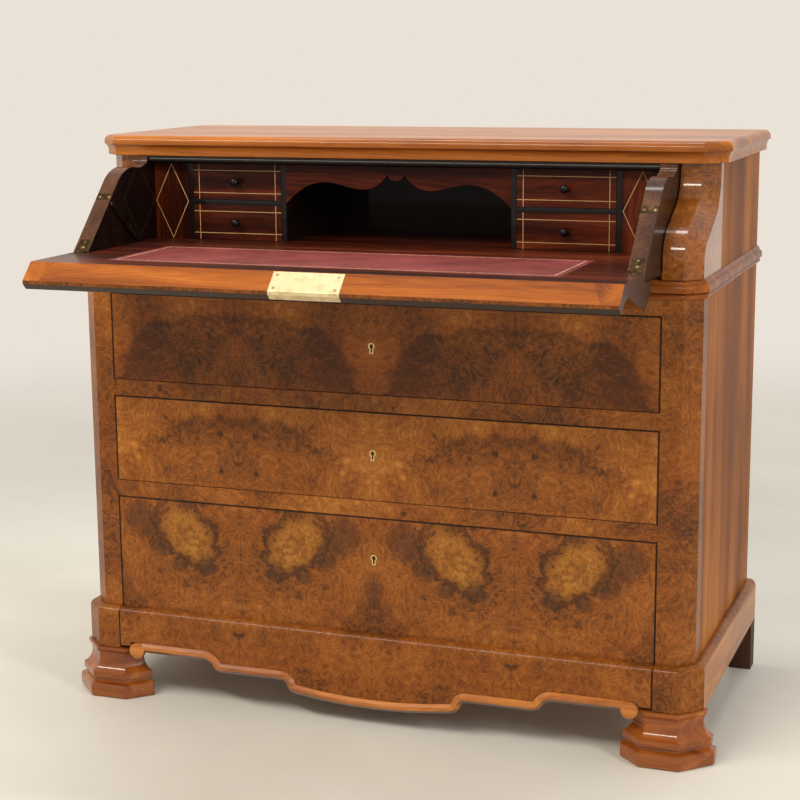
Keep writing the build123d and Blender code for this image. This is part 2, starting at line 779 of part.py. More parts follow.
with BuildPart() as cheek_cut:
    add(cheek.part)
    add(catch_plate.part, mode=Mode.SUBTRACT)
keep(cheek_cut.part, "desk_cheek_right")
keep(mirror(cheek_cut.part, about=Plane.YZ), "desk_cheek_left")
catch_pieces = [catch_plate.part, stud.part]
catch_pieces += [mirror(piece, about=Plane.YZ) for piece in catch_pieces]
keep(Compound(children=catch_pieces), "catch_plates")
keep(catch_lever.part, "catch_lever_right")
keep(mirror(catch_lever.part, about=Plane.YZ), "catch_lever_left")

# Butt hinges at the cheeks' feet: each leaf is let in, with its own part of the knuckle
fall_plane = across(0, hinge_y, hinge_z, fall_angle)
fall_face = Plane(origin=(cheek_inner, hinge_y, hinge_z), x_dir=(1, 0, 0), z_dir=(0, 0, 1))
with BuildPart() as cheek_leaf:
    with BuildSketch(slope):
        with Locations(leaf_middle):
            Rectangle(2 * knuckle_length, leaf_length)
    extrude(amount=-leaf_thick)
    with BuildSketch(across(cheek_inner + knuckle_start, hinge_y, hinge_z)):
        Circle(knuckle_radius + running)
    extrude(amount=knuckle_length + running, mode=Mode.SUBTRACT)
    second_knuckle = cheek_inner + knuckle_start + knuckle_length + running
    with BuildSketch(across(second_knuckle, hinge_y, hinge_z)):
        Circle(knuckle_radius)
    extrude(amount=knuckle_length - running)
with BuildPart() as fall_leaf:
    with BuildSketch(fall_face):
        with Locations((leaf_middle[0], -leaf_middle[1])):
            Rectangle(2 * knuckle_length, leaf_length)
    extrude(amount=-leaf_thick)
    with BuildSketch(across(second_knuckle - running, hinge_y, hinge_z)):
        Circle(knuckle_radius + running)
    extrude(amount=knuckle_length + 2 * running, mode=Mode.SUBTRACT)
    with BuildSketch(across(cheek_inner + knuckle_start, hinge_y, hinge_z)):
        Circle(knuckle_radius)
    extrude(amount=knuckle_length - running)
keep(Compound(children=[cheek_leaf.part, mirror(cheek_leaf.part, about=Plane.YZ)]),
     "cheek_hinge_leaves")
keep(Compound(children=[fall_leaf.part, mirror(fall_leaf.part, about=Plane.YZ)]),
     "fall_hinge_leaves")

with BuildPart() as desk_back:
    block((-cheek_inner, box_rear - desk_back_thick, hinge_z),
          (cheek_inner, box_rear, hinge_z + desk_inside))
keep(desk_back.part, "desk_back")

lid_rail_depth = lid_thick / 2
lid_start = box_at(lid_rail_back + lid_rail_depth)
with BuildPart() as desk_lid:
    block((-cheek_inner, lid_start, hinge_z + desk_inside), (cheek_inner, box_rear, box_top))
keep(desk_lid.part, "desk_lid")

with BuildPart() as lid_rail:
    with BuildSketch(across(-cheek_inner, lid_start, box_top - lid_thick)):
        with BuildLine():
            Line((0, 0), (0, lid_thick))
            ThreePointArc((0, lid_thick), (-lid_rail_depth, lid_thick / 2), (0, 0))
        make_face()
    extrude(amount=2 * cheek_inner)
keep(lid_rail.part, "lid_rail")

# Pigeonholes: upright boards, shelves between the small drawers, the niche's shaped apron
# and the two fixed end panels
desk_back_face = box_rear - desk_back_thick
partition_y = box_at(small_front_back)
partitions = []
for inner_x in (inner_post_half, outer_post_half):
    with BuildPart() as partition:
        block((inner_x, partition_y, hinge_z),
              (inner_x + post_width, desk_back_face, hinge_z + desk_inside))
    partitions += [partition.part, mirror(partition.part, about=Plane.YZ)]
keep(Compound(children=partitions), "partitions")

shelf_low = hinge_z + desk_inside * shelf_share
with BuildPart() as shelf:
    block((inner_post_half + post_width, partition_y, shelf_low),
          (outer_post_half, desk_back_face, shelf_low + shelf_thick))
keep(Compound(children=[shelf.part, mirror(shelf.part, about=Plane.YZ)]), "drawer_shelves")

with BuildPart() as diamond_panel:
    block((outer_post_half + post_width, partition_y, hinge_z),
          (cheek_inner, partition_y + niche_thick, hinge_z + desk_inside))
keep(Compound(children=[diamond_panel.part, mirror(diamond_panel.part, about=Plane.YZ)]),
     "diamond_panels")

# The serpentine: shares of the niche's half width and of the desk's inner height
niche_shares = [(1.0, 0.50), (0.93, 0.60), (0.79, 0.735), (0.62, 0.78), (0.34, 0.70),
                (0.076, 0.885)]
drop_share = 0.81         # tip of the small drop in the middle
with BuildPart() as niche_apron:
    with BuildSketch(Plane.XZ.offset(-partition_y)):
        with BuildLine():
            curve = [(x * inner_post_half, hinge_z + z * desk_inside) for x, z in niche_shares]
            other = [(-x, z) for x, z in curve]
            head_z = hinge_z + desk_inside
            Spline(*curve)
            Spline(*other)
            ThreePointArc(curve[-1], (0, hinge_z + drop_share * desk_inside), other[-1])
            Polyline(curve[0], (inner_post_half, head_z), (-inner_post_half, head_z), other[0])
        make_face()
    extrude(amount=-niche_thick)
keep(niche_apron.part, "niche_apron")

# Small drawers
small_gap = 0.6
knob_radius = 7.5
knob_length = 18.0
small_inner_x = inner_post_half + post_width + small_gap
small_outer_x = outer_post_half - small_gap
small_rows = {"lower": (hinge_z, shelf_low), "upper": (shelf_low + shelf_thick, head_z)}
small_back = partition_y + small_front_thick
# The knob's outline: shares of its radius and of its length, drawn with flats all round
knob_sides = 16
knob_shares = [(0.52, 0.0), (0.36, 0.3), (0.94, 0.56), (1.0, 0.72), (0.8, 0.9), (0.4, 1.0)]
for row, (low, high) in small_rows.items():
    middle_x = (small_inner_x + small_outer_x) / 2
    middle_z = (low + high) / 2
    small_rear_y = small_back + small_box_depth
    small_top = high - small_box_drop
    with BuildPart() as small_front:
        block((small_inner_x, partition_y, low + small_gap),
              (small_outer_x, small_back, high - small_gap))
    with BuildPart() as small_side_board:
        block((small_inner_x, small_back, low + running),
              (small_inner_x + small_side, small_rear_y, small_top))
    with BuildPart() as other_side:
        block((small_outer_x - small_side, small_back, low + running),
              (small_outer_x, small_rear_y, small_top))
    tray_top = low + running + small_bottom
    with BuildPart() as small_tray:
        block((small_inner_x + small_side, small_back, low + running),
              (small_outer_x - small_side, small_rear_y, tray_top))
    with BuildPart() as small_rear:
        block((small_inner_x + small_side, small_rear_y - small_side, tray_top),
              (small_outer_x - small_side, small_rear_y, small_top))
    box_pieces = [small_side_board.part, other_side.part, small_tray.part, small_rear.part]
    knob_foot = Plane(origin=(middle_x, partition_y, middle_z), x_dir=(1, 0, 0),
                      z_dir=(0, -1, 0))
    knob = turned_with_flats(knob_foot, knob_shares, knob_radius, knob_length, knob_sides)
    kinds = {"front": small_front.part, "box": Compound(children=box_pieces), "knob": knob}
    for kind, piece in kinds.items():
        keep(piece, f"small_drawer_{row}_right_{kind}")
        keep(mirror(piece, about=Plane.YZ), f"small_drawer_{row}_left_{kind}")

# Fall: one thick panel with its ogee outside, leather within and a lock in its lip
lock_plate_half = 59.0
lock_plate_thick = 1.2
fall_lock_half = 40.0
fall_lock_depth = 45.0
fall_lock_share = 0.45     # front of the lock case, in the lip's thickness
escutcheon_turn = 32.0     # degrees down the ogee's upper round, from its top
ogee_top = ogee_setback - ogee_front
lip_front = (ogee_top, lip_run)
with BuildSketch() as lock_plate_section:
    plate = lock_plate_thick
    bevel_shift = plate * mitre_share
    Polygon((fall_run, fall_run + plate), (fall_run, lip_run - lip_ease),
            (fall_run - lip_ease, lip_run), (ogee_top + plate, lip_run),
            (ogee_top + plate, lip_run - plate),
            (fall_run - lip_ease - bevel_shift, lip_run - plate),
            (fall_run - plate, lip_run - lip_ease - bevel_shift),
            (fall_run - plate, fall_run + plate),
            align=None)
with BuildSketch() as lock_case_section:
    case_front = ogee_top + (fall_run - ogee_top) * (1 - fall_lock_share) - plate
    Polygon((case_front - lock_thick, lip_run - plate), (case_front, lip_run - plate),
            (case_front, lip_run - fall_lock_depth),
            (case_front - lock_thick, lip_run - fall_lock_depth), align=None)
turn = radians(escutcheon_turn)
high_centre = (ogee_top - ogee_high_radius, ogee_corners()[3][1])
key_local = Vector(high_centre[0] + ogee_high_radius * cos(turn),
                   high_centre[1] - ogee_high_radius * sin(turn))
key_out = fall_plane.x_dir * -cos(turn) + fall_plane.y_dir * sin(turn)
key_place = Plane(origin=fall_plane.from_local_coords(key_local), x_dir=(1, 0, 0),
                  z_dir=key_out)
with BuildPart() as fall_panel:
    with BuildSketch(across(-desk_half, hinge_y, hinge_z, fall_angle)):
        with BuildLine():
            add(ogee_edges(-fall_foot, lip_run))
            Polyline(
                lip_front,
                (fall_run - lip_ease, lip_run),
                (fall_run, lip_run - lip_ease),
                (fall_run, fall_run),
                hinged(running, 0),
                hinged(running, -desk_floor_thick - running),
                hinged(-tail_seat, -desk_floor_thick - running),
                (foot_flat - ogee_front, -fall_foot),
                (-ogee_front, -fall_foot),
            )
        make_face()
    extrude(amount=2 * desk_half)
    block((-leather_half, hinge_y - fall_leather_depth, hinge_z - leather_thick),
          (leather_half, hinge_y, hinge_z), mode=Mode.SUBTRACT)
    with BuildSketch(across(-lock_plate_half, hinge_y, hinge_z, fall_angle)):
        add(lock_plate_section.sketch)
    extrude(amount=2 * lock_plate_half, mode=Mode.SUBTRACT)
    with BuildSketch(across(-fall_lock_half, hinge_y, hinge_z, fall_angle)):
        add(lock_case_section.sketch)
    extrude(amount=2 * fall_lock_half, mode=Mode.SUBTRACT)
    with BuildSketch(key_place):
        add(keyhole(0))
    extrude(amount=-lock_thick, mode=Mode.SUBTRACT)
    with BuildSketch(key_place):
        add(keyhole(lining))
    extrude(amount=lining_depth, both=True, mode=Mode.SUBTRACT)
    for side in (1, -1):
        notch_x = side * (cheek_inner + knuckle_start + knuckle_length)
        with BuildSketch(across(notch_x, hinge_y, hinge_z)):
            Circle(knuckle_radius + running)
        extrude(amount=knuckle_length + running, both=True, mode=Mode.SUBTRACT)
        with BuildSketch(Plane.XY.offset(hinge_z)):
            with Locations((notch_x, hinge_y - leaf_length / 2)):
                Rectangle(2 * knuckle_length, leaf_length)
        extrude(amount=-leaf_thick, mode=Mode.SUBTRACT)
keep(fall_panel.part, "fall_panel")

with BuildPart() as fall_leather:
    block((-leather_half, hinge_y - fall_leather_depth, hinge_z - leather_thick),
          (leather_half, hinge_y - running, hinge_z))
keep(fall_leather.part, "fall_leather")

with BuildPart() as lock_plate:
    with BuildSketch(across(-lock_plate_half, hinge_y, hinge_z, fall_angle)):
        add(lock_plate_section.sketch)
    extrude(amount=2 * lock_plate_half)
with BuildPart() as fall_lock_case:
    with BuildSketch(across(-fall_lock_half, hinge_y, hinge_z, fall_angle)):
        add(lock_case_section.sketch)
    extrude(amount=2 * fall_lock_half)
keep(Compound(children=[lock_plate.part, fall_lock_case.part]), "fall_lock")

with BuildPart() as fall_escutcheon:
    with BuildSketch(key_place):
        add(keyhole(lining))
        add(keyhole(0), mode=Mode.SUBTRACT)
    extrude(amount=-lining_depth)
keep(fall_escutcheon.part, "fall_escutcheon")
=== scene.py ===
import logging
from dataclasses import dataclass
from enum import Enum
from math import cos, pi, radians, sin, sqrt
from typing import Any, Iterable, Mapping, Self, Sequence

import bmesh
import bpy
from mathutils import Matrix, Vector


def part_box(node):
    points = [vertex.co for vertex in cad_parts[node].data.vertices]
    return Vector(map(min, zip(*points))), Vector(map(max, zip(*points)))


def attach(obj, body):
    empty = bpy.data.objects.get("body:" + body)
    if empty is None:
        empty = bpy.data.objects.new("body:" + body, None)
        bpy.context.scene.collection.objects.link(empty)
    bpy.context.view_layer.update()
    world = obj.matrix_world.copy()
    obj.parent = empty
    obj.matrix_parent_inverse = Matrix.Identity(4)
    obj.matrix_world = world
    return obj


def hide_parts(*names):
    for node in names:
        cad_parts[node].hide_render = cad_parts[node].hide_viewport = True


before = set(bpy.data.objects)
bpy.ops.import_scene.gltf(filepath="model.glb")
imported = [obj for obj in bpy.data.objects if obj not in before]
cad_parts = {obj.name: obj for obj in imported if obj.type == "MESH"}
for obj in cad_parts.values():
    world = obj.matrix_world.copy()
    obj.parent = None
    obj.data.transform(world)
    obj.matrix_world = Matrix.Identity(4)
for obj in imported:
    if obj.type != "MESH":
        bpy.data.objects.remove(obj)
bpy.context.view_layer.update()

log = logging.getLogger("commode")

Colour = tuple[float, float, float, float]
Point = tuple[float, float, float]
Pair = tuple[float, float]
BMesh = bmesh.types.BMesh
Material = bpy.types.Material

MIDDLE = 0.5
SQUARE_ON = 0.9
NEARLY_ON = 0.7


def paint(red: int, green: int, blue: int) -> Colour:
    """A linear colour from the three numbers of a screen colour.

    Args:
        red: Red from 0 to 255.
        green: Green from 0 to 255.
        blue: Blue from 0 to 255.

    Returns:
        The colour as Blender's sockets take it.
    """
    toe, slope, offset, power = 0.04045, 12.92, 0.055, 2.4
    linear = []
    for share in (red / 255, green / 255, blue / 255):
        linear.append(share / slope if share <= toe else ((share + offset) / (1 + offset)) ** power)
    return (linear[0], linear[1], linear[2], 1.0)


def linked(name: str, data: Any) -> bpy.types.Object:
    """A new object of the scene, made of a mesh, a lamp or a camera."""
    made = bpy.data.objects.new(name, data)
    bpy.context.scene.collection.objects.link(made)
    return made


class Axis(Enum):
    """The row frame's axes, by their socket names."""

    X = "X"
    Y = "Y"
    Z = "Z"


class Way(Enum):
    """Directions that a face can look in."""

    RIGHT = (1.0, 0.0, 0.0)
    FRONT = (0.0, -1.0, 0.0)
    UP = (0.0, 0.0, 1.0)
    DOWN = (0.0, 0.0, -1.0)
    FRONT_AND_UP = (0.0, -1.0, 1.0)
    FRONT_AND_DOWN = (0.0, -1.0, -1.0)


class Palette(Enum):
    """Rows of stops, each with its place and the three numbers of a screen colour."""

    BURR = (
        (0.0, 40, 23, 9), (0.26, 80, 45, 15), (0.5, 132, 73, 22), (0.74, 164, 99, 36), (1.0, 200, 138, 62)
    )
    CLOUD = ((0.1, 78, 46, 14), (0.5, 152, 94, 30), (0.9, 190, 136, 58))
    WALNUT = (
        (0.0, 78, 39, 14), (0.3, 136, 76, 29), (0.55, 176, 108, 46), (0.8, 201, 134, 67), (1.0, 222, 160, 92)
    )
    HONEY = ((0.0, 84, 40, 10), (0.35, 142, 76, 20), (0.65, 176, 102, 32), (1.0, 206, 136, 56))
    BEAD = ((0.0, 106, 50, 10), (0.35, 162, 88, 20), (0.65, 196, 116, 30), (1.0, 222, 150, 52))
    FOOT = ((0.0, 70, 30, 8), (0.35, 122, 60, 17), (0.65, 154, 82, 26), (1.0, 190, 118, 46))
    LIP = ((0.0, 84, 38, 9), (0.35, 138, 70, 19), (0.65, 166, 90, 26), (1.0, 200, 128, 50))
    RED = ((0.0, 58, 24, 8), (0.4, 112, 54, 18), (0.7, 146, 78, 27), (1.0, 184, 112, 50))
    DUSK = ((0.0, 14, 5, 3), (0.4, 50, 17, 8), (0.7, 90, 34, 14), (1.0, 134, 60, 26))
    # Wood in deep shade: painted shade for the writing box's back, lid, pigeonhole sides and cheek sides.
    NIGHT = ((0.0, 7, 4, 3), (0.5, 19, 10, 8), (1.0, 42, 21, 14))
    CHEEK = ((0.0, 32, 16, 9), (0.45, 68, 39, 24), (1.0, 108, 70, 44))
    OAK = ((0.0, 124, 86, 50), (0.5, 172, 130, 82), (1.0, 200, 164, 114))
    EBONY = ((0.3, 10, 9, 8), (0.8, 26, 22, 19))
    HIDE = ((0.25, 92, 30, 30), (0.75, 138, 56, 50))
    STONE = ((0.3, 219, 216, 204), (0.7, 231, 228, 217))


class Tint(Enum):
    """Screen colours of lines, joints and marks, and of painted shade."""

    RUSSET = (142, 66, 20)
    CLOUD_RIM = (44, 27, 14)
    BUD = (66, 42, 24)
    SEAM = (48, 26, 14)
    JOINT = (20, 12, 7)
    # Painted shade for faces that look down.
    GRIME = (52, 26, 10)
    BOXWOOD_DARK = (170, 130, 78)
    BOXWOOD_LIGHT = (222, 186, 128)
    BOXWOOD = (206, 166, 110)
    GILT = (232, 196, 150)
    HIDE_EDGE = (84, 24, 26)
    END_GRAIN = (58, 34, 22)
    # Painted shade on the fall's underside by its front edge.
    LIP_EDGE = (60, 46, 36)


class Signal:
    """A shader socket that takes part in Python arithmetic."""

    def __init__(self, recipe: "NodeTray", socket: bpy.types.NodeSocket) -> None:
        """Keeps the socket and the tray that its new nodes join."""
        self.recipe = recipe
        self.socket = socket

    def apply(self, operation: str, *terms: Any) -> Self:
        """One Math node on terms that are numbers or signals."""
        made = self.recipe.node("ShaderNodeMath", {"operation": operation}, dict(enumerate(terms)))
        return Signal(self.recipe, made.outputs[0])

    def __add__(self, other: Any) -> Self:
        """The sum."""
        return self.apply("ADD", self, other)

    def __radd__(self, other: Any) -> Self:
        """The sum, from a number on the left."""
        return self.apply("ADD", other, self)

    def __sub__(self, other: Any) -> Self:
        """The difference."""
        return self.apply("SUBTRACT", self, other)

    def __rsub__(self, other: Any) -> Self:
        """The difference, from a number on the left."""
        return self.apply("SUBTRACT", other, self)

    def __mul__(self, other: Any) -> Self:
        """The product."""
        return self.apply("MULTIPLY", self, other)

    def __rmul__(self, other: Any) -> Self:
        """The product, from a number on the left."""
        return self.apply("MULTIPLY", other, self)

    def __truediv__(self, other: Any) -> Self:
        """The quotient."""
        return self.apply("DIVIDE", self, other)

    def __rtruediv__(self, other: Any) -> Self:
        """The quotient, from a number on the left."""
        return self.apply("DIVIDE", other, self)

    def __abs__(self) -> Self:
        """The size without its sign."""
        return self.apply("ABSOLUTE", self)

    def __lt__(self, other: Any) -> Self:
        """1 where this is under the other, else 0."""
        return self.apply("LESS_THAN", self, other)

    def __gt__(self, other: Any) -> Self:
        """1 where this is over the other, else 0."""
        return self.apply("GREATER_THAN", self, other)

    def larger(self, other: Any) -> Self:
        """The larger of two."""
        return self.apply("MAXIMUM", self, other)

    def smaller(self, other: Any) -> Self:
        """The smaller of two."""
        return self.apply("MINIMUM", self, other)

    def root(self) -> Self:
        """The square root."""
        return self.apply("SQRT", self)

    def centred(self) -> Self:
        """A value between 0 and 1, moved to lie round 0."""
        return self - MIDDLE

    def zigzag(self, height: float = MIDDLE) -> Self:
        """Rises to a height and falls back, over and over."""
        return self.apply("PINGPONG", self, height)

    def rise(self, low: float, high: float) -> Self:
        """Goes smoothly from 0 at low to 1 at high."""
        limits = {"Value": self, "From Min": low, "From Max": high}
        made = self.recipe.node("ShaderNodeMapRange", {"interpolation_type": "SMOOTHSTEP"}, limits)
        return Signal(self.recipe, made.outputs[0])

    def line(self, centre: float, half_width: float, blur: float = 0.0002) -> Self:
        """1 within half a width of a centre and 0 outside, with ends as soft as the blur."""
        return 1 - abs(self - centre).rise(half_width - blur, half_width + blur)


class NodeTray:
    """A node tree that is emptied and then filled."""

    def __init__(self, owner: Material | bpy.types.World) -> None:
        """Empties the owner's tree."""
        owner.use_nodes = True
        self.tree = owner.node_tree
        self.tree.nodes.clear()

    def node(
        self, kind: str, settings: Mapping[str, Any] | None = None, inputs: Mapping[Any, Any] | None = None
    ) -> bpy.types.Node:
        """Adds one node.

        Args:
            kind: The node's type.
            settings: Its properties, or the stops of a ramp, set before the sockets.
            inputs: Values, tints or links by socket name or number.

        Returns:
            The node.
        """
        made = self.tree.nodes.new(kind)
        for key, value in (settings or {}).items():
            if key == "stops":
                while len(made.color_ramp.elements) < len(value):
                    made.color_ramp.elements.new(1.0)
                for stop, (place, colour) in zip(made.color_ramp.elements, value):
                    stop.position = place
                    stop.color = colour
            else:
                setattr(made, key, value)
        self.fill(made, inputs or {})
        return made

    def fill(self, node: bpy.types.Node, inputs: Mapping[Any, Any]) -> None:
        """Sets or links a node's sockets."""
        for key, value in inputs.items():
            source = value.socket if isinstance(value, Signal) else value
            if isinstance(source, bpy.types.NodeSocket):
                self.tree.links.new(source, node.inputs[key])
            else:
                node.inputs[key].default_value = paint(*source.value) if isinstance(source, Tint) else source


class Recipe(NodeTray):
    """One material while it is being mixed."""

    def __init__(self, name: str) -> None:
        """Starts a material with a bare shader."""
        self.material = bpy.data.materials.new(name)
        super().__init__(self.material)
        self.shader = self.node("ShaderNodeBsdfPrincipled")
        self.node("ShaderNodeOutputMaterial", inputs={"Surface": self.shader.outputs["BSDF"]})
        places = self.node("ShaderNodeTexCoord")
        self.place = Signal(self, places.outputs["Object"])
        self.facing = Signal(self, places.outputs["Normal"])

    def part(self, vector: Signal, axis: Axis) -> Signal:
        """One number of a vector."""
        return Signal(self, self.node("ShaderNodeSeparateXYZ", inputs={0: vector}).outputs[axis.value])

    def parts(self) -> tuple[Signal, Signal, Signal]:
        """The three numbers of the place."""
        return tuple(self.part(self.place, axis) for axis in Axis)

    def point(self, x: Any, y: Any, z: Any) -> Signal:
        """A vector from three numbers."""
        return Signal(self, self.node("ShaderNodeCombineXYZ", inputs={0: x, 1: y, 2: z}).outputs[0])

    def scaled(self, vector: Signal, factors: Point) -> Signal:
        """A vector with each of its numbers times a factor."""
        made = self.node("ShaderNodeVectorMath", {"operation": "MULTIPLY"}, {0: vector, 1: factors})
        return Signal(self, made.outputs[0])

    def shifted(self, vector: Signal, offset: Any) -> Signal:
        """A vector moved by another."""
        made = self.node("ShaderNodeVectorMath", {"operation": "ADD"}, {0: vector, 1: offset})
        return Signal(self, made.outputs[0])

    def toward(self, way: Way) -> Signal:
        """How far the surface faces a direction, from -1 to 1."""
        unit = tuple(Vector(way.value).normalized())
        made = self.node("ShaderNodeVectorMath", {"operation": "DOT_PRODUCT"}, {0: self.facing, 1: unit})
        return Signal(self, made.outputs["Value"])

    def sideways(self) -> Signal:
        """1 where the surface looks left or right, else 0."""
        return abs(self.toward(Way.RIGHT)) > SQUARE_ON

    def noise(
        self, vector: Signal, scale: float, detail: float = 3.0, rough: float = 0.5, twist: float = 0.0
    ) -> Signal:
        """Soft random values from 0 to 1: blots in a metre, finer layers, their strength, distortion."""
        look = {"Scale": scale, "Detail": detail, "Roughness": rough, "Distortion": twist}
        return Signal(self, self.node("ShaderNodeTexNoise", inputs={"Vector": vector, **look}).outputs[0])

    def wandered(self, vector: Signal, scale: float, reach: float, detail: float = 2.0) -> Signal:
        """A vector that strays softly from its place.

        Args:
            vector: The place.
            scale: How many turns it takes in a metre.
            reach: How far it strays, in metres.
            detail: How many finer layers there are.

        Returns:
            The strayed place.
        """
        sockets = {"Vector": vector, "Scale": scale, "Detail": detail}
        random = Signal(self, self.node("ShaderNodeTexNoise", inputs=sockets).outputs["Color"])
        centred = self.shifted(random, (-MIDDLE, -MIDDLE, -MIDDLE))
        return self.shifted(vector, self.scaled(centred, (reach, reach, reach)))

    def ramp(self, factor: Signal, palette: Palette) -> Signal:
        """A colour picked from a palette."""
        stops = [(place, paint(*colour)) for place, *colour in palette.value]
        return Signal(self, self.node("ShaderNodeValToRGB", {"stops": stops}, {0: factor}).outputs[0])

    def blend(self, factor: Any, first: Any, second: Any) -> Signal:
        """A mix of two colours, by the second one's share."""
        made = self.node("ShaderNodeMix", {"data_type": "RGBA"}, {0: factor, 6: first, 7: second})
        return Signal(self, made.outputs[2])

    def bump(self, height: Signal, depth: float, strength: float, arris: float = 0.0012) -> Signal:
        """A normal bent by a height and softened at the arrises.

        Args:
            height: The height.
            depth: How deep a height of 1 is, in metres.
            strength: How much of it shows.
            arris: How far in from an edge it looks rounded, in metres.

        Returns:
            The normal.
        """
        eased = self.node("ShaderNodeBevel", {"samples": 4}, {"Radius": arris})
        sockets = {"Height": height, "Distance": depth, "Strength": strength, "Normal": eased.outputs[0]}
        return Signal(self, self.node("ShaderNodeBump", inputs=sockets).outputs[0])

    def finish(self, **sockets: Any) -> Material:
        """Sets the shader's sockets, whose names have underscores for spaces."""
        self.fill(self.shader, {key.replace("_", " "): value for key, value in sockets.items()})
        return self.material


@dataclass(frozen=True)
class Polish:
    """How glossy a polished surface is."""

    roughness: float = 0.38
    coat: float = 0.16
    coat_roughness: float = 0.08
    shine: float = 0.15
    arris: float = 0.0013
    unevenness: float = 0.12
    pore_depth: float = 0.0004
    pore_strength: float = 0.1

    def finish(self, recipe: Recipe, colour: Any, fine: Signal) -> Material:
        """Ends a polished material, with its colour and its fine pores."""
        return recipe.finish(
            Base_Color=colour,
            Roughness=self.roughness + fine.centred() * self.unevenness,
            Normal=recipe.bump(fine, self.pore_depth, self.pore_strength, self.arris),
            Coat_Weight=self.coat,
            Coat_Roughness=self.coat_roughness,
            Specular_IOR_Level=self.shine,
        )


WAXED = Polish()
GLOSSY = Polish(0.3, 0.75, 0.05, 0.1, 0.0028)
ROUNDED = Polish(0.3, 1.0, 0.2, 0.2, 0.0065)
SATIN = Polish(0.62, 0.0, 0.3, 0.25)
INSIDE = Polish(0.36, 0.14, 0.06, 0.04)


@dataclass(frozen=True)
class Spot:
    """A ragged oval in a leaf, by its middle, its two half widths and its lean in degrees."""

    across: float
    up: float
    wide: float
    tall: float
    lean: float = 0.0

    def apart(self, recipe: Recipe, leaf: Signal, ragged: Signal) -> Signal:
        """How far a place is from the oval's middle, where 1 is its rim.

        Args:
            recipe: The material that it joins.
            leaf: The place on the leaf.
            ragged: Soft random values round 0 that tear the rim.

        Returns:
            The distance.
        """
        x, z = recipe.part(leaf, Axis.X) - self.across, recipe.part(leaf, Axis.Z) - self.up
        turn = radians(self.lean)
        along = (x * cos(turn) + z * sin(turn)) / self.wide
        over = (z * cos(turn) - x * sin(turn)) / self.tall
        return (along * along + over * over).root() + ragged


class Wood:
    """Polished wood, with the pores in a metre of it."""

    name: str
    polish: Polish
    pores: float

    def surface(self, recipe: Recipe) -> Signal:
        """The colour of the finished surface."""
        return self.colour(recipe)

    def mix(self) -> Material:
        """The wood's material."""
        recipe = Recipe(self.name)
        return self.polish.finish(recipe, self.surface(recipe), recipe.noise(recipe.place, self.pores, 2.0))


class Figure(Enum):
    """What grew in a leaf of burr veneer."""

    PLAIN = "plain"
    MOUND = "mound"
    CLOUD = "cloud"


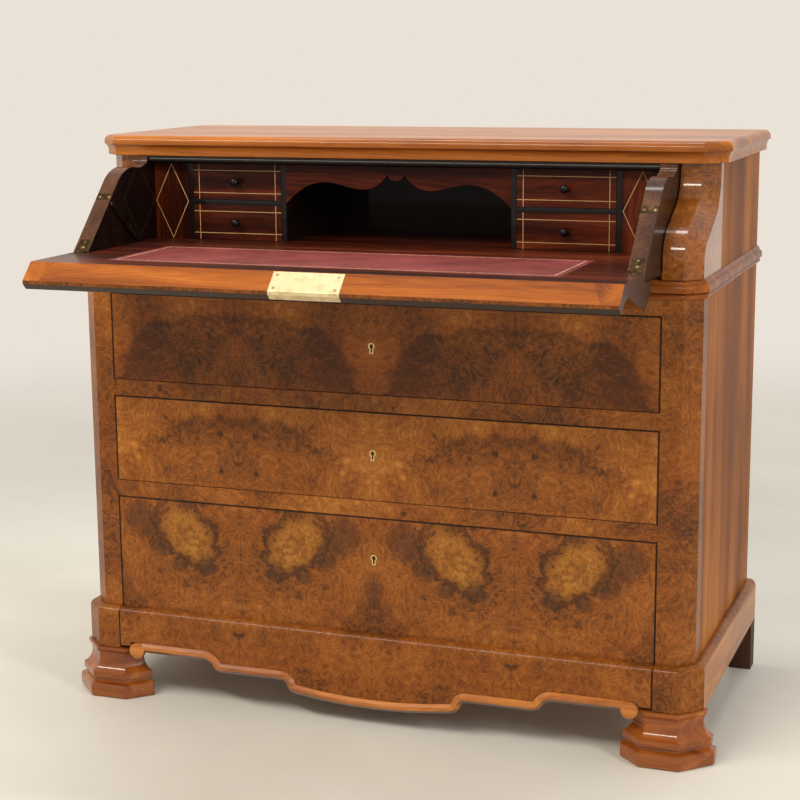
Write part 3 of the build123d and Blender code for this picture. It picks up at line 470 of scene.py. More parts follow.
@dataclass(frozen=True)
class BurrWalnut(Wood):
    """Burr veneer: curled figure, small eyes and clouds, laid in mirrored leaves."""

    name: str
    figure: Figure = Figure.PLAIN
    seams: Pair | None = None
    head: float = 0.0
    half_width: float = 0.0
    shift: Point = (0.0, 0.0, 0.0)
    # Shifts the tone lighter or darker; where it darkens the top drawer it is partly painted shadow of the
    # open fall.
    light: float = 0.0
    polish: Polish = WAXED
    pores: float = 420.0
    layer_count: float = 15.0
    eye_scale: float = 26.0
    eye_rarity: float = 0.8
    seam_half_width: float = 0.0005
    seam_share: float = 0.5
    joint: Pair = (0.0012, 0.0023)
    mound: Spot = Spot(0.0, -0.16, 0.235, 0.142)
    cloud: Spot = Spot(0.101, -0.06, 0.07, 0.043, 48.0)
    buds: tuple[Spot, ...] = (
        Spot(0.157, -0.089, 0.019, 0.013),
        Spot(0.12, -0.115, 0.014, 0.012),
        Spot(0.062, -0.118, 0.018, 0.014, 40.0),
        Spot(0.19, -0.042, 0.032, 0.025, 60.0),
        Spot(0.25, -0.135, 0.013, 0.026),
    )

    def leaf(self, recipe: Recipe) -> Signal:
        """The place on one leaf, folded at the seams, its height measured from the front's top."""
        if self.seams is None:
            return recipe.shifted(recipe.place, self.shift)
        middle, half = self.seams
        x, y, z = recipe.parts()
        folded = abs(abs(x - middle) - half)
        return recipe.shifted(recipe.point(folded, y, z - self.head), self.shift)

    def colour(self, recipe: Recipe) -> Signal:
        """The veneer's colour over its surface."""
        leaf = self.leaf(recipe)
        swept = recipe.wandered(leaf, scale=5.0, reach=0.09)
        curled = recipe.wandered(swept, scale=26.0, reach=0.034, detail=3.0)
        clouds = recipe.noise(swept, 8.0, 4.0, 0.55).centred()
        layers = (recipe.noise(curled, 16.0, 2.0, 0.45) * self.layer_count).zigzag()
        curls = recipe.noise(curled, 90.0, 5.0, 0.62, 0.8).centred()
        flecks = recipe.noise(curled, 260.0, 2.0, 0.6).centred()
        pale = (1 - layers.rise(0.0, 0.13)) * 0.11
        dark = layers.rise(0.37, MIDDLE) * 0.12
        tone = MIDDLE + self.light + clouds + curls * 0.64 + flecks * 0.3
        tone = tone + pale - dark - self.eyes(recipe, swept) * 0.28
        ragged = recipe.noise(leaf, 34.0, 4.0, 0.6).centred() * 1.1
        near = recipe.wandered(leaf, scale=8.0, reach=0.02)
        warm = recipe.noise(leaf, 6.0).rise(0.45, 0.65) * 0.2
        if self.figure is Figure.MOUND:
            colour = self.hilly(recipe, near, tone, ragged)
        elif self.figure is Figure.CLOUD:
            colour = self.clouded(recipe, near, tone, ragged, curls)
        else:
            colour = recipe.ramp(tone, Palette.BURR)
        return recipe.blend(warm, colour, Tint.RUSSET)

    def eyes(self, recipe: Recipe, swept: Signal) -> Signal:
        """Small dark buds, a few to a hand's breadth."""
        cells = recipe.node("ShaderNodeTexVoronoi", inputs={"Vector": swept, "Scale": self.eye_scale})
        parted = recipe.node("ShaderNodeSeparateColor", inputs={0: cells.outputs["Color"]})
        picked = Signal(recipe, parted.outputs[0]) > self.eye_rarity
        return picked * (1 - Signal(recipe, cells.outputs["Distance"]).rise(0.04, 0.2))

    def hilly(self, recipe: Recipe, near: Signal, tone: Signal, ragged: Signal) -> Signal:
        """A low hill of tight curls under smoother golden wood, parted by a dark line."""
        apart = self.mound.apart(recipe, near, ragged * 0.42)
        above = apart.rise(0.92, 1.0) * 0.18
        rim = apart.line(0.94, 0.07, 0.06) * 0.1
        return recipe.ramp(tone - 0.03 + above - rim, Palette.BURR)

    def clouded(self, recipe: Recipe, near: Signal, tone: Signal, ragged: Signal, curls: Signal) -> Signal:
        """A golden cloud with a dark rim, and dark buds round it.

        Args:
            recipe: The material that it joins.
            near: The place on the leaf, hardly strayed.
            tone: The plain figure's tone.
            ragged: Soft random values round 0.
            curls: Fine random values round 0.

        Returns:
            The colour.
        """
        golden = recipe.ramp(MIDDLE + curls * 1.5 + ragged * 0.5, Palette.CLOUD)
        torn = ragged * 0.7 + curls * 0.9
        apart = self.cloud.apart(recipe, near, torn * 1.35)
        inside = (1 - apart.rise(0.7, 1.0)) * 0.9
        rim = apart.line(1.08, 0.13, 0.12) * 0.62
        colour = recipe.blend(inside, recipe.ramp(tone, Palette.BURR), golden)
        colour = recipe.blend(rim, colour, Tint.CLOUD_RIM)
        for bud in self.buds:
            apart = bud.apart(recipe, near, torn * 0.65)
            inside = (1 - apart.rise(0.6, 1.15)) * 0.6
            rim = apart.line(1.05, 0.22, 0.21) * 0.35
            colour = recipe.blend(inside, colour, Tint.BUD)
            colour = recipe.blend(rim, colour, Tint.CLOUD_RIM)
        return colour

    def surface(self, recipe: Recipe) -> Signal:
        """The veneer's colour with its seams and the dark joint round a front."""
        colour = self.colour(recipe)
        if self.seams is None:
            return colour
        middle, half = self.seams
        x, _, z = recipe.parts()
        leaf_seam = abs(abs(x - middle) - half).line(0.0, self.seam_half_width)
        seam = leaf_seam.larger(abs(x - middle).line(0.0, self.seam_half_width))
        colour = recipe.blend(seam * self.seam_share, colour, Tint.SEAM)
        inward = (self.half_width - abs(x)).smaller(self.head - z)
        rim = (1 - inward.rise(*self.joint)) * (recipe.toward(Way.FRONT) > NEARLY_ON)
        return recipe.blend(rim, colour, Tint.JOINT)


@dataclass(frozen=True)
class StraightWood(Wood):
    """Wood whose grain runs along one axis."""

    name: str
    grain: Axis
    palette: Palette
    figure: float = 14.0
    streaks: float = 1.0
    rings: float = 0.25
    shift: Point = (0.0, 0.0, 0.0)
    # How much painted shade darkens the faces that look down.
    painted_under_shade: float = 0.0
    polish: Polish = WAXED
    pores: float = 350.0
    stretch: float = 0.07
    ring_count: float = 26.0
    ring_middle: float = 0.25

    def colour(self, recipe: Recipe) -> Signal:
        """The wood's colour over its surface."""
        factors = tuple(self.stretch if axis is self.grain else 1.0 for axis in Axis)
        near = recipe.wandered(recipe.shifted(recipe.place, self.shift), scale=9.0, reach=0.012)
        laid = recipe.scaled(near, factors)
        bent = recipe.wandered(laid, scale=3.0, reach=0.06)
        bands = recipe.noise(bent, self.figure, 4.0, 0.55, 0.5).centred() * 1.5 * self.streaks
        rings = (recipe.noise(bent, self.figure * 0.7, 1.0) * self.ring_count).zigzag()
        fibres = recipe.noise(laid, 320.0, 3.0, 0.6).centred() * 0.4
        drift = recipe.noise(recipe.place, 3.0, 2.0).centred() * 0.45
        tone = MIDDLE + bands + (rings - self.ring_middle) * self.rings + fibres
        return recipe.ramp(tone + drift, self.palette)

    def surface(self, recipe: Recipe) -> Signal:
        """The wood's colour, with painted shade on the faces that look down."""
        under = recipe.toward(Way.DOWN).rise(0.1, 0.7) * self.painted_under_shade
        return recipe.blend(under, self.colour(recipe), Tint.GRIME)


@dataclass(frozen=True)
class SidedWood(Wood):
    """One wood on the sides that look left or right, and another on the rest."""

    name: str
    rest: Wood
    sides: Wood
    polish: Polish
    pores: float

    def colour(self, recipe: Recipe) -> Signal:
        """The wood's colour over its surface."""
        return recipe.blend(recipe.sideways(), self.rest.colour(recipe), self.sides.colour(recipe))


@dataclass(frozen=True)
class Stringing(Wood):
    """Dark wood with thin boxwood lines let in."""

    name: str
    boxes: tuple[tuple[Point, Point], ...]
    end_margin: float = 0.011
    edge_margin: float = 0.0118
    half_width: float = 0.00055
    polish: Polish = INSIDE
    pores: float = 500.0

    def colour(self, recipe: Recipe) -> Signal:
        """The drawer fronts' colour over their surface."""
        ground = StraightWood(self.name, Axis.X, Palette.DUSK, figure=20.0)
        x, _, z = recipe.parts()
        mask: Any = 0.0
        for low, high in self.boxes:
            across, half_x = abs(x - (low[0] + high[0]) / 2), (high[0] - low[0]) / 2
            up, half_z = abs(z - (low[2] + high[2]) / 2), (high[2] - low[2]) / 2
            upright = across.line(half_x - self.end_margin, self.half_width)
            level = up.line(half_z - self.edge_margin, self.half_width)
            within = (across < half_x) * (up < half_z)
            mask = (upright.larger(level) * within).larger(mask)
        fine = recipe.noise(recipe.place, self.pores, 2.0)
        line = recipe.blend(fine, Tint.BOXWOOD_DARK, Tint.BOXWOOD_LIGHT)
        front = recipe.toward(Way.FRONT) > NEARLY_ON
        return recipe.blend(mask * front, ground.colour(recipe), line)


@dataclass(frozen=True)
class DiamondInlay(Wood):
    """Dark wood with a standing diamond of boxwood line on each end panel."""

    name: str
    low: Point
    high: Point
    slant_margin: float = 0.002
    half_width: float = 0.0006
    polish: Polish = INSIDE
    pores: float = 500.0

    def colour(self, recipe: Recipe) -> Signal:
        """The end panels' colour over their surface."""
        ground = StraightWood(self.name, Axis.Z, Palette.DUSK, figure=16.0)
        x, _, z = recipe.parts()
        half_x = (self.high[0] - self.low[0]) / 2 - self.slant_margin
        half_z = (self.high[2] - self.low[2]) / 2 - self.slant_margin
        across = abs(abs(x) - (self.low[0] + self.high[0]) / 2) / half_x
        up = abs(z - (self.low[2] + self.high[2]) / 2) / half_z
        steep = half_x * half_z / sqrt(half_x**2 + half_z**2)
        mask = ((across + up - 1) * steep).line(0.0, self.half_width)
        front = recipe.toward(Way.FRONT) > NEARLY_ON
        return recipe.blend(mask * front, ground.colour(recipe), Tint.BOXWOOD)


@dataclass(frozen=True)
class Ebony:
    """Black polished wood, on a dark red ground in painted shade behind a bead's depth."""

    name: str
    bead_y: float | None = None
    pores: float = 260.0
    polish: Polish = Polish(0.3, 0.3, 0.06, 0.1, 0.004, 0.1, 0.0003)

    def mix(self) -> Material:
        """The black wood's material."""
        recipe = Recipe(self.name)
        fine = recipe.noise(recipe.place, self.pores)
        colour = recipe.ramp(fine, Palette.EBONY)
        if self.bead_y is not None:
            # Behind the bead the ground is wood in painted shade.
            ground = StraightWood(self.name, Axis.Y, Palette.NIGHT, figure=18.0)
            behind = recipe.part(recipe.place, Axis.Y) > self.bead_y
            colour = recipe.blend(behind, colour, ground.colour(recipe))
        return self.polish.finish(recipe, colour, fine)


@dataclass(frozen=True)
class TooledLeather:
    """Leather with a gold line pressed round a panel that two pieces share."""

    name: str
    low: Point
    high: Point
    margin: float = 0.0125
    half_width: float = 0.0012
    least_gold: float = 0.45
    dots_in_metre: float = 160.0
    pebbles_in_metre: float = 900.0
    edge: float = 0.005
    roughness: float = 0.48

    def mix(self) -> Material:
        """The leather's material."""
        recipe = Recipe(self.name)
        x, y, _ = recipe.parts()
        half_x, half_y = (self.high[0] - self.low[0]) / 2, (self.high[1] - self.low[1]) / 2
        across = half_x - abs(x - (self.low[0] + self.high[0]) / 2)
        border = across.smaller(half_y - abs(y - (self.low[1] + self.high[1]) / 2))
        wear = recipe.noise(recipe.place, 130.0).rise(0.38, 0.6)
        worn = self.least_gold + wear * (1 - self.least_gold)
        dots = ((x + y) * self.dots_in_metre).zigzag().rise(0.08, 0.2)
        gold = border.line(self.margin, self.half_width) * worn * (0.5 + dots * 0.5)
        pebbles = {"Vector": recipe.place, "Scale": self.pebbles_in_metre}
        grain = Signal(recipe, recipe.node("ShaderNodeTexVoronoi", inputs=pebbles).outputs["Distance"])
        mottle = recipe.noise(recipe.place, 14.0, 4.0, 0.6)
        hide = recipe.ramp(mottle + (grain - 0.4) * 0.15, Palette.HIDE)
        edged = recipe.blend(1 - border.rise(0.0, self.edge), hide, Tint.HIDE_EDGE)
        return recipe.finish(
            Base_Color=recipe.blend(gold, edged, Tint.GILT),
            Roughness=self.roughness + mottle.centred() * 0.2,
            Normal=recipe.bump(grain - gold, depth=0.0004, strength=0.35),
        )


@dataclass(frozen=True)
class Brass:
    """Old brass, from bright to brown."""

    name: str
    bright: Colour
    brown: Colour
    tarnish: float = 0.5
    roughness: float = 0.34
    scratch_stretch: Point = (0.15, 1.0, 1.0)

    def mix(self) -> Material:
        """The brass's material."""
        recipe = Recipe(self.name)
        stain = recipe.noise(recipe.place, 60.0, 5.0, 0.6)
        scratch = recipe.noise(recipe.scaled(recipe.place, self.scratch_stretch), 900.0, 2.0)
        clean = 1 - self.tarnish
        spoiled = (stain + scratch.centred() * 0.3).rise(clean - 0.2, clean + 0.3)
        return recipe.finish(
            Base_Color=recipe.blend(spoiled, self.bright, self.brown),
            Metallic=1.0,
            Roughness=self.roughness + stain.centred() * 0.25,
            Normal=recipe.bump(scratch, depth=0.0002, strength=0.12),
        )


@dataclass(frozen=True)
class FallWood(Wood):
    """The fall's woods: honey lip with crossbanded ends, brown inner border, burr outside, and painted shade
    under the lip.
    """

    name: str
    front_y: float
    hinge_z: float
    half_length: float
    band: float = 0.045
    # How far back from the front edge the painted underside shade reaches.
    shaded_underside_depth: float = 0.02
    mitre_lean: float = 0.6
    level_depth: float = 0.002
    polish: Polish = WAXED
    pores: float = 400.0

    def colour(self, recipe: Recipe) -> Signal:
        """The fall's colour over its surface."""
        long_grain = StraightWood(self.name, Axis.X, Palette.LIP, figure=26.0, shift=(0.3, 0.2, 0.0))
        cross_grain = StraightWood(self.name, Axis.Z, Palette.LIP, figure=22.0, shift=(0.1, 0.0, 0.4))
        inner = StraightWood(self.name, Axis.X, Palette.DUSK, figure=16.0, shift=(0.0, 0.5, 0.0))
        burr = BurrWalnut(self.name, seams=(0.0, 0.245), shift=(0.0, 1.3, 0.4), light=-0.06)
        x, y, z = recipe.parts()
        mitred = (self.half_length - abs(x) + (self.hinge_z - z) * self.mitre_lean) < self.band
        honey = recipe.blend(mitred, long_grain.colour(recipe), cross_grain.colour(recipe))
        level = (recipe.toward(Way.UP) > SQUARE_ON) * (z > self.hinge_z - self.level_depth)
        colour = recipe.blend(level, burr.colour(recipe), inner.colour(recipe))
        colour = recipe.blend(recipe.sideways(), colour, Tint.END_GRAIN)
        # Faces that look forward and down by the front edge get a painted shade colour in place of the burr.
        edge = (recipe.toward(Way.FRONT_AND_DOWN) > SQUARE_ON) * (y < self.front_y + self.shaded_underside_depth)
        colour = recipe.blend(edge, colour, Tint.LIP_EDGE)
        return recipe.blend(recipe.toward(Way.FRONT_AND_UP) > SQUARE_ON, colour, honey)


class Workshop:
    """Makes meshes and sets them on the bodies."""

    def add(
        self,
        name: str,
        mesh: BMesh,
        body: str,
        slot: str,
        material: Material,
        smooth_angle: float,
    ) -> bpy.types.Object:
        """Turns a mesh into a piece that rides on a body.

        Args:
            name: The piece's name.
            mesh: Its shape, which is freed.
            body: The body that carries it.
            slot: Not used.
            material: Its finish.
            smooth_angle: Edges that turn less than this, in degrees, look round.

        Returns:
            The piece.
        """
        data = bpy.data.meshes.new(name)
        mesh.to_mesh(data)
        mesh.free()
        piece = linked(name, data)
        self.coat(piece, material, smooth_angle)
        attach(piece, body)
        log.info("made %s on %s", name, body)
        return piece

    def coat(self, piece: bpy.types.Object, material: Material, smooth_angle: float) -> None:
        """Gives a piece one finish, and soft shading over its round faces.

        Args:
            piece: The piece.
            material: Its finish.
            smooth_angle: Edges that turn less than this, in degrees, look round.
        """
        piece.data.materials.clear()
        piece.data.materials.append(material)
        for face in piece.data.polygons:
            face.use_smooth = True
        piece.data.set_sharp_from_angle(angle=radians(smooth_angle))
        log.info("dressed %s with %s", piece.name, material.name)

    def turned(
        self, shape: BMesh, outline: Sequence[Pair], place: Vector, turn: Matrix, angles: Sequence[float]
    ) -> None:
        """Adds a turned body, or a slice of one.

        Args:
            shape: The mesh that it joins.
            outline: Radius and height of each ring, from the base up.
            place: The base's middle.
            turn: Its three directions, the way up as the last of them.
            angles: Where the corners of each ring stand.
        """
        rings = []
        for radius, height in outline:
            spots = [Vector((radius * cos(angle), radius * sin(angle), height)) for angle in angles]
            rings.append([shape.verts.new(place + turn @ spot) for spot in spots])
        for low, high in zip(rings, rings[1:]):
            for step in range(len(low)):
                after = (step + 1) % len(low)
                shape.faces.new((low[step], low[after], high[after], high[step]))
        shape.faces.new(list(reversed(rings[0])))
        shape.faces.new(rings[-1])

    def dress(self, nodes: Iterable[str], material: Material, smooth_angle: float = 32.0) -> None:
        """Gives CAD nodes a finish, and soft shading over edges that turn less than an angle."""
        for name in nodes:
            self.coat(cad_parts[name], material, smooth_angle)


@dataclass
class Plate:
    """The flat face of a thin metal plate, found on its node."""

    node: str
    way: Way
    side: int = 0
    flatness: float = 0.99
    levels_in_metre: int = 10000

    def face(self) -> tuple[Vector, Vector, Vector]:
        """Finds the largest flat face that looks outward.

        Returns:
            Its middle, and its two half lengths as vectors, the first along X.
        """
        out, along = Vector(self.way.value).normalized(), Vector(Way.RIGHT.value)
        up = out.cross(along)
        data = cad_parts[self.node].data
        faces: dict[int, list[bpy.types.MeshPolygon]] = {}
        for polygon in data.polygons:
            if polygon.normal.dot(out) > self.flatness and polygon.center.x * self.side >= 0:
                level = round(polygon.center.dot(out) * self.levels_in_metre)
                faces.setdefault(level, []).append(polygon)
        largest = max(faces.values(), key=lambda group: sum(polygon.area for polygon in group))
        spots = [data.vertices[index].co for polygon in largest for index in polygon.vertices]
        middle, halves = out * spots[0].dot(out), []
        for way in (along, up):
            reach = [spot.dot(way) for spot in spots]
            middle = middle + way * (max(reach) + min(reach)) / 2
            halves.append(way * (max(reach) - min(reach)) / 2)
        return middle, halves[0], halves[1]


@dataclass
class Screws:
    """Slotted screws, sunk nearly flush in the brass plates."""

    shop: Workshop
    metal: Material
    height: float = 0.00022
    slot_share: float = 0.16
    rings: tuple[Pair, ...] = ((1.0, -0.5), (1.0, 0.4), (0.86, 1.0))
    steps: int = 12
    first_turn: float = 0.6
    next_turn: float = 1.3
    plate_radius: float = 0.0026
    leaf_radius: float = 0.0024
    smooth_angle: float = 30.0
    corner_places: Pair = (0.86, 0.66)
    leaf_places: tuple[Pair, ...] = ((0.0, -0.35), (0.0, 0.55))
    catch_places: tuple[Pair, ...] = ((-0.62, 0.0), (0.62, 0.0))

    def head(self, shape: BMesh, middle: Vector, out: Vector, turn: float, radius: float) -> None:
        """Adds one head, whose slot stands between two half rounds.

        Args:
            shape: The mesh that it joins.
            middle: The middle of its seat.
            out: The way that it looks.
            turn: The slot's turn, in radians.
            radius: The head's radius.
        """
        side = out.orthogonal().normalized()
        basis = Matrix((side, out.cross(side), out)).transposed()
        outline = [(radius * share, self.height * rise) for share, rise in self.rings]
        arc = pi - 2 * self.slot_share
        for half in (0.0, pi):
            start = turn + half + self.slot_share
            angles = [start + arc * step / self.steps for step in range(self.steps + 1)]
            self.shop.turned(shape, outline, middle, basis, angles)

    def set_in(self, name: str, plate: Plate, places: Sequence[Pair], body: str, radius: float) -> None:
        """Sets screws in one plate.

        Args:
            name: The piece's name.
            plate: The plate.
            places: Each screw's place, as shares of the plate's half lengths.
            body: The body that carries the plate.
            radius: The heads' radius.
        """
        middle, along, up = plate.face()
        shape = bmesh.new()
        for number, (across_share, up_share) in enumerate(places):
            spot = middle + along * across_share + up * up_share
            turn = self.first_turn + self.next_turn * number
            self.head(shape, spot, Vector(plate.way.value).normalized(), turn, radius)
        self.shop.add(name, shape, body, "brass", self.metal, self.smooth_angle)

    def build(self) -> None:
        """Sets the screws of the lock plate, the hinge leaves and the catch plates."""
        slope = Way.FRONT_AND_UP
        wide, tall = self.corner_places
        corners = [(x, z) for x in (-wide, wide) for z in (-tall, tall)]
        self.set_in("lock_plate_screws", Plate("fall_lock", slope), corners, "fall", self.plate_radius)
        for side, word in ((-1, "left"), (1, "right")):
            rows = (
                ("cheek_leaf", Plate("cheek_hinge_leaves", slope, side), self.leaf_places, "writing_box"),
                ("fall_leaf", Plate("fall_hinge_leaves", Way.UP, side), self.leaf_places, "fall"),
                ("catch_plate", Plate("catch_plates", slope, side), self.catch_places, "writing_box"),
            )
            for stem, plate, places, body in rows:
                self.set_in(f"{stem}_screws_{word}", plate, places, body, self.leaf_radius)


@dataclass
class Carcass:
    """The lower case, its mouldings, feet and top."""

    shop: Workshop
    stepped: Polish = Polish(0.36, 0.26, 0.05, 0.1, 0.003)
    matt: Polish = Polish(0.42, 0.03, 0.1, 0.03)
    table: Polish = Polish(0.36, 0.34, 0.06, 0.12, 0.002)
    moulded: Polish = Polish(0.34, 0.26, 0.05, 0.05, 0.002)
    bead_angle: float = 60.0

    def build(self) -> None:
        """Dresses the case's pieces."""
        dress = self.shop.dress
        posts = BurrWalnut("burr_posts", shift=(0.4, 0.2, 0.7))
        dress(["corner_post_left", "corner_post_right", "drawer_rails"], posts.mix())
        pilasters = BurrWalnut("burr_pilasters", shift=(1.4, 0.9, 0.1), light=0.03, polish=GLOSSY)
        dress(["shaped_pilaster_left", "shaped_pilaster_right"], pilasters.mix())
        sides = StraightWood("walnut_sides", Axis.Z, Palette.WALNUT, 8.0, 1.1, rings=0.05, polish=self.matt)
        dress(["side_panel_left", "side_panel_right"], sides.mix())
        burr = BurrWalnut("burr_plinth", shift=(0.8, 0.1, 0.3))
        straight = StraightWood("straight_plinth", Axis.Y, Palette.WALNUT, 18.0)
        plinth = SidedWood("walnut_plinth", burr, straight, self.stepped, 350.0)
        dress(["plinth_left", "plinth_right"], plinth.mix())
        top = StraightWood("walnut_top", Axis.X, Palette.HONEY, shift=(0.0, 2.0, 0.0), polish=self.table)
        dress(["top_board"], top.mix())
        waist = StraightWood("walnut_waist", Axis.X, Palette.RED, 30.0, polish=self.moulded)
        dress(["waist_moulding"], waist.mix())
        feet = StraightWood("walnut_feet", Axis.X, Palette.FOOT, 26.0, shift=(0.6, 0.0, 0.0), polish=GLOSSY)
        dress(["front_foot_left", "front_foot_right"], feet.mix())
        # The bead's faces that look down get painted shade.
        bead = StraightWood("walnut_bead", Axis.X, Palette.BEAD, 34.0, painted_under_shade=0.8, polish=ROUNDED)
        dress(["apron_bead"], bead.mix(), self.bead_angle)
        dark = StraightWood("dark_feet", Axis.Z, Palette.CHEEK, 24.0, polish=SATIN)
        dress(["rear_feet"], dark.mix())
        oak = StraightWood("plain_oak", Axis.X, Palette.OAK, 20.0, polish=SATIN)
        dress(["back_panel", "bottom_board", "dust_board", "drawer_runners"], oak.mix())


@dataclass
class LongDrawers:
    """The three long drawers."""

    shop: Workshop
    seams: Pair = (0.0, 0.2505)
    figures: tuple[tuple[str, Figure, float, float], ...] = (
        ("bottom_drawer", Figure.CLOUD, 0.0, 0.0),
        ("middle_drawer", Figure.MOUND, 0.9, 0.0),
        # The top drawer's darker tone is partly its veneer and partly painted shadow of the open fall.
        ("top_drawer", Figure.MOUND, 1.9, -0.09),
    )

    def build(self) -> None:
        """Dresses the fronts, boxes and locks."""
        oak = StraightWood("oak_boxes", Axis.Y, Palette.OAK, 20.0, shift=(0.7, 0.0, 0.2), polish=SATIN).mix()
        brass = Brass("brass_linings", paint(238, 212, 150), paint(120, 92, 52), 0.3).mix()
        for name, figure, shift, light in self.figures:
            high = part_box(f"{name}_front")[1]
            burr = BurrWalnut(f"burr_{name}", figure, self.seams, high.z, high.x, (0.0, shift, 0.0), light)
            self.shop.dress([f"{name}_front"], burr.mix())
            self.shop.dress([f"{name}_box"], oak)
            self.shop.dress([f"{name}_lock"], brass)


@dataclass
class WritingBox:
    """The box behind the fall, with its small drawers and brass."""

    shop: Workshop
    bead_depth: float = 0.006
    sawn: Polish = Polish(0.3, 0.35, 0.06, 0.1, 0.003)
    knob_sides: int = 36
    knob_angle: float = 50.0
    knob_shares: tuple[Pair, ...] = (
        (0.52, 0.0), (0.52, 0.06), (0.4, 0.13), (0.34, 0.24), (0.38, 0.34), (0.6, 0.42), (0.82, 0.5),
        (0.96, 0.6), (1.0, 0.7), (0.96, 0.8), (0.84, 0.89), (0.62, 0.96), (0.34, 0.99), (0.1, 1.0),
    )

    def build(self) -> None:
        """Dresses the box and its small drawers."""
        dress = self.shop.dress
        dusk = StraightWood("dark_mahogany", Axis.X, Palette.DUSK, 16.0, polish=INSIDE)
        dress(["niche_apron"], dusk.mix())
        # The box's back and lid are painted as wood in deep shade.
        shaded_niche = StraightWood("niche_wood_painted_shade", Axis.X, Palette.NIGHT, 12.0, polish=INSIDE)
        dress(["desk_back", "desk_lid"], shaded_niche.mix())
        floor = StraightWood("desk_floor_wood", Axis.X, Palette.DUSK, 16.0, shift=(0.2, 0.1, 0.5))
        dress(["desk_floor"], floor.mix())
        post_low, post_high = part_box("partitions")
        dress(["partitions", "drawer_shelves"], Ebony("black_beads", post_low.y + self.bead_depth).mix())
        dress(["lid_rail"], Ebony("black_rail").mix())
        # The cheeks' front edges keep lit wood; their sides are painted in shade.
        edge = StraightWood("cheek_edges", Axis.Z, Palette.CHEEK, 22.0)
        side = StraightWood("cheek_sides_painted_shade", Axis.Z, Palette.NIGHT, 14.0)
        cheeks = SidedWood("cheek_wood", edge, side, self.sawn, 320.0)
        dress(["desk_cheek_left", "desk_cheek_right"], cheeks.mix())
        low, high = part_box("diamond_panels")
        diamonds = DiamondInlay("diamond_inlay", (post_high.x, low.y, low.z), tuple(high))
        dress(["diamond_panels"], diamonds.mix())
        self.small_drawers()

    def small_drawers(self) -> None:
        """Dresses the four small drawers and replaces their knobs by turned ones."""
        places = [f"small_drawer_{row}_{side}" for row in ("lower", "upper") for side in ("left", "right")]
        fronts = [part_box(f"{place}_front") for place in places]
        boxes = tuple((tuple(low), tuple(high)) for low, high in fronts)
        strung = Stringing("strung_mahogany", boxes).mix()
        oak = StraightWood("small_oak", Axis.Y, Palette.OAK, 22.0, polish=SATIN).mix()
        black = Ebony("black_knobs").mix()
        turn = Vector(Way.UP.value).rotation_difference(Vector(Way.FRONT.value)).to_matrix()
        angles = [2 * pi * step / self.knob_sides for step in range(self.knob_sides)]
        for place in places:
            self.shop.dress([f"{place}_front"], strung)
            self.shop.dress([f"{place}_box"], oak)
            low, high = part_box(f"{place}_knob")
            radius, length = (high.x - low.x) / 2, high.y - low.y
            outline = [(share * radius, along * length) for share, along in self.knob_shares]
            shape, middle = bmesh.new(), Vector(((low.x + high.x) / 2, high.y, (low.z + high.z) / 2))
            self.shop.turned(shape, outline, middle, turn, angles)
            name = f"{place}_turned_knob"
            knob = self.shop.add(name, shape, place, "ebonised_wood", black, self.knob_angle)
            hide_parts(f"{place}_knob")


@dataclass
class Fall:
    """The fall with its leather and brass."""

    shop: Workshop

    def build(self) -> None:
        """Dresses the fall, the leather of both boards and the brass."""
        low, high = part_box("fall_panel")
        self.shop.dress(["fall_panel"], FallWood("fall_woods", low.y, high.z, high.x).mix())
        front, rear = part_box("fall_leather"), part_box("desk_leather")
        leather = TooledLeather("tooled_burgundy", tuple(front[0]), tuple(rear[1]))
        self.shop.dress(["fall_leather", "desk_leather"], leather.mix())
        bright = Brass("brass_lock_plate", paint(240, 224, 180), paint(186, 152, 96), 0.42, 0.36)
        self.shop.dress(["fall_lock", "fall_escutcheon"], bright.mix())
        worn = Brass("screw_brass", paint(206, 180, 128), paint(88, 68, 44), 0.6, 0.4)
        Screws(self.shop, worn.mix()).build()
        old = Brass("old_brass", paint(108, 84, 52), paint(44, 32, 20), 0.68, 0.5)
        leaves = ["cheek_hinge_leaves", "fall_hinge_leaves"]
        catches = ["catch_plates", "catch_lever_left", "catch_lever_right"]
        self.shop.dress(leaves + catches, old.mix())


@dataclass(frozen=True)
class Lamp:
    """A soft rectangular lamp: its place, its aim, its width and height, its watts and its colour."""

    name: str
    place: Point
    aim: Point
    size: Pair
    watts: float
    tint: Colour = paint(255, 255, 255)

    def hang(self) -> None:
        """Adds the lamp."""
        data = bpy.data.lights.new(self.name, "AREA")
        data.shape = "RECTANGLE"
        data.size, data.size_y = self.size
        data.energy = self.watts
        data.color = self.tint[:3]
        lamp = linked(self.name, data)
        lamp.location = self.place
        lamp.rotation_euler = (Vector(self.aim) - Vector(self.place)).to_track_quat("-Z", "Y").to_euler()


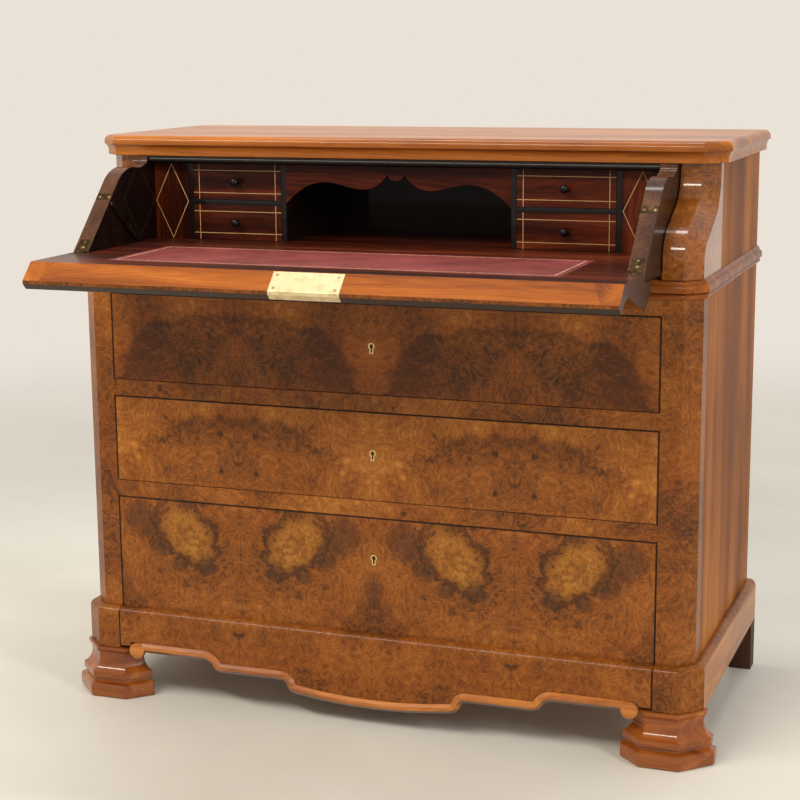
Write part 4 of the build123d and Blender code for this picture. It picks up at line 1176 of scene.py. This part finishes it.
@dataclass
class Studio:
    """The floor, the lamps, the pale background and the camera."""

    sensor: float = 36.0
    focal_pixels: float = 1791.2
    frame_pixels: float = 800.0
    place: Point = (1.0703, -2.8716, 1.1628)
    yaw: float = 0.3552
    pitch: float = 0.1964
    roll: float = -0.0085
    backdrop: Colour = paint(235, 226, 215)
    soft_light: Colour = paint(250, 246, 240)
    glow: float = 0.5
    floor_radius: float = 9.0
    floor_sides: int = 96
    floor_roughness: float = 0.5
    floor_fade: Pair = (1.6, 4.2)
    lamps: tuple[Lamp, ...] = (
        Lamp("key", (-1.2, -2.3, 3.0), (0, 0, 0.6), (3.0, 0.36), 80, paint(255, 246, 234)),
        Lamp("side", (3.0, -1.6, 1.9), (0, 0, 0.6), (0.5, 1.4), 44),
        Lamp("overhead", (0.0, 0.3, 3.2), (0, 0.1, 0.4), (2.4, 0.5), 42),
    )

    def camera(self) -> None:
        """Sets the camera at the photograph's place and angle."""
        data = bpy.data.cameras.new("camera")
        data.sensor_width = self.sensor
        data.lens = self.sensor * self.focal_pixels / self.frame_pixels
        right = Vector((cos(self.yaw), sin(self.yaw), 0))
        level = cos(self.pitch)
        ahead = Vector((-sin(self.yaw) * level, cos(self.yaw) * level, -sin(self.pitch)))
        up = right.cross(ahead)
        tilted_right = right * cos(self.roll) + up * sin(self.roll)
        tilted_up = up * cos(self.roll) - right * sin(self.roll)
        turn = Matrix((tilted_right, tilted_up, -ahead)).transposed().to_4x4()
        camera = linked("camera", data)
        camera.matrix_world = Matrix.Translation(self.place) @ turn
        bpy.context.scene.camera = camera

    def floor(self) -> None:
        """Lays a round pale floor that fades into the background."""
        shape = bmesh.new()
        bmesh.ops.create_circle(shape, cap_ends=True, segments=self.floor_sides, radius=self.floor_radius)
        data = bpy.data.meshes.new("floor")
        shape.to_mesh(data)
        shape.free()
        recipe = Recipe("pale_floor")
        colour = recipe.ramp(recipe.noise(recipe.place, 2.2, 5.0, 0.6), Palette.STONE)
        x, y, _ = recipe.parts()
        fade = 1 - (x * x + y * y).root().rise(*self.floor_fade)
        data.materials.append(recipe.finish(Base_Color=colour, Roughness=self.floor_roughness, Alpha=fade))
        linked("floor", data)

    def world(self) -> None:
        """Sets the soft light all round and the pale background."""
        world = bpy.data.worlds.new("studio")
        bpy.context.scene.world = world
        tray = NodeTray(world)
        rays = tray.node("ShaderNodeLightPath").outputs
        seen = tray.node("ShaderNodeBackground", inputs={"Color": self.backdrop, "Strength": 1.0})
        cast = tray.node("ShaderNodeBackground", inputs={"Color": self.soft_light, "Strength": self.glow})
        direct = Signal(tray, rays["Is Camera Ray"]).larger(Signal(tray, rays["Is Glossy Ray"]))
        shown = direct.larger(Signal(tray, rays["Is Transmission Ray"]))
        sockets = {0: shown, 1: cast.outputs[0], 2: seen.outputs[0]}
        mixed = tray.node("ShaderNodeMixShader", inputs=sockets)
        tray.node("ShaderNodeOutputWorld", inputs={"Surface": mixed.outputs[0]})

    def build(self) -> None:
        """Sets everything round the object."""
        bpy.context.scene.view_settings.view_transform = "Standard"
        self.camera()
        self.floor()
        self.world()
        for lamp in self.lamps:
            lamp.hang()


def main() -> None:
    """Builds the commode's looks and the studio."""
    logging.basicConfig(level=logging.INFO)
    shop = Workshop()
    for group in (Carcass(shop), LongDrawers(shop), WritingBox(shop), Fall(shop), Studio()):
        group.build()
    bpy.context.view_layer.update()


if __name__ == "__main__":
    main()
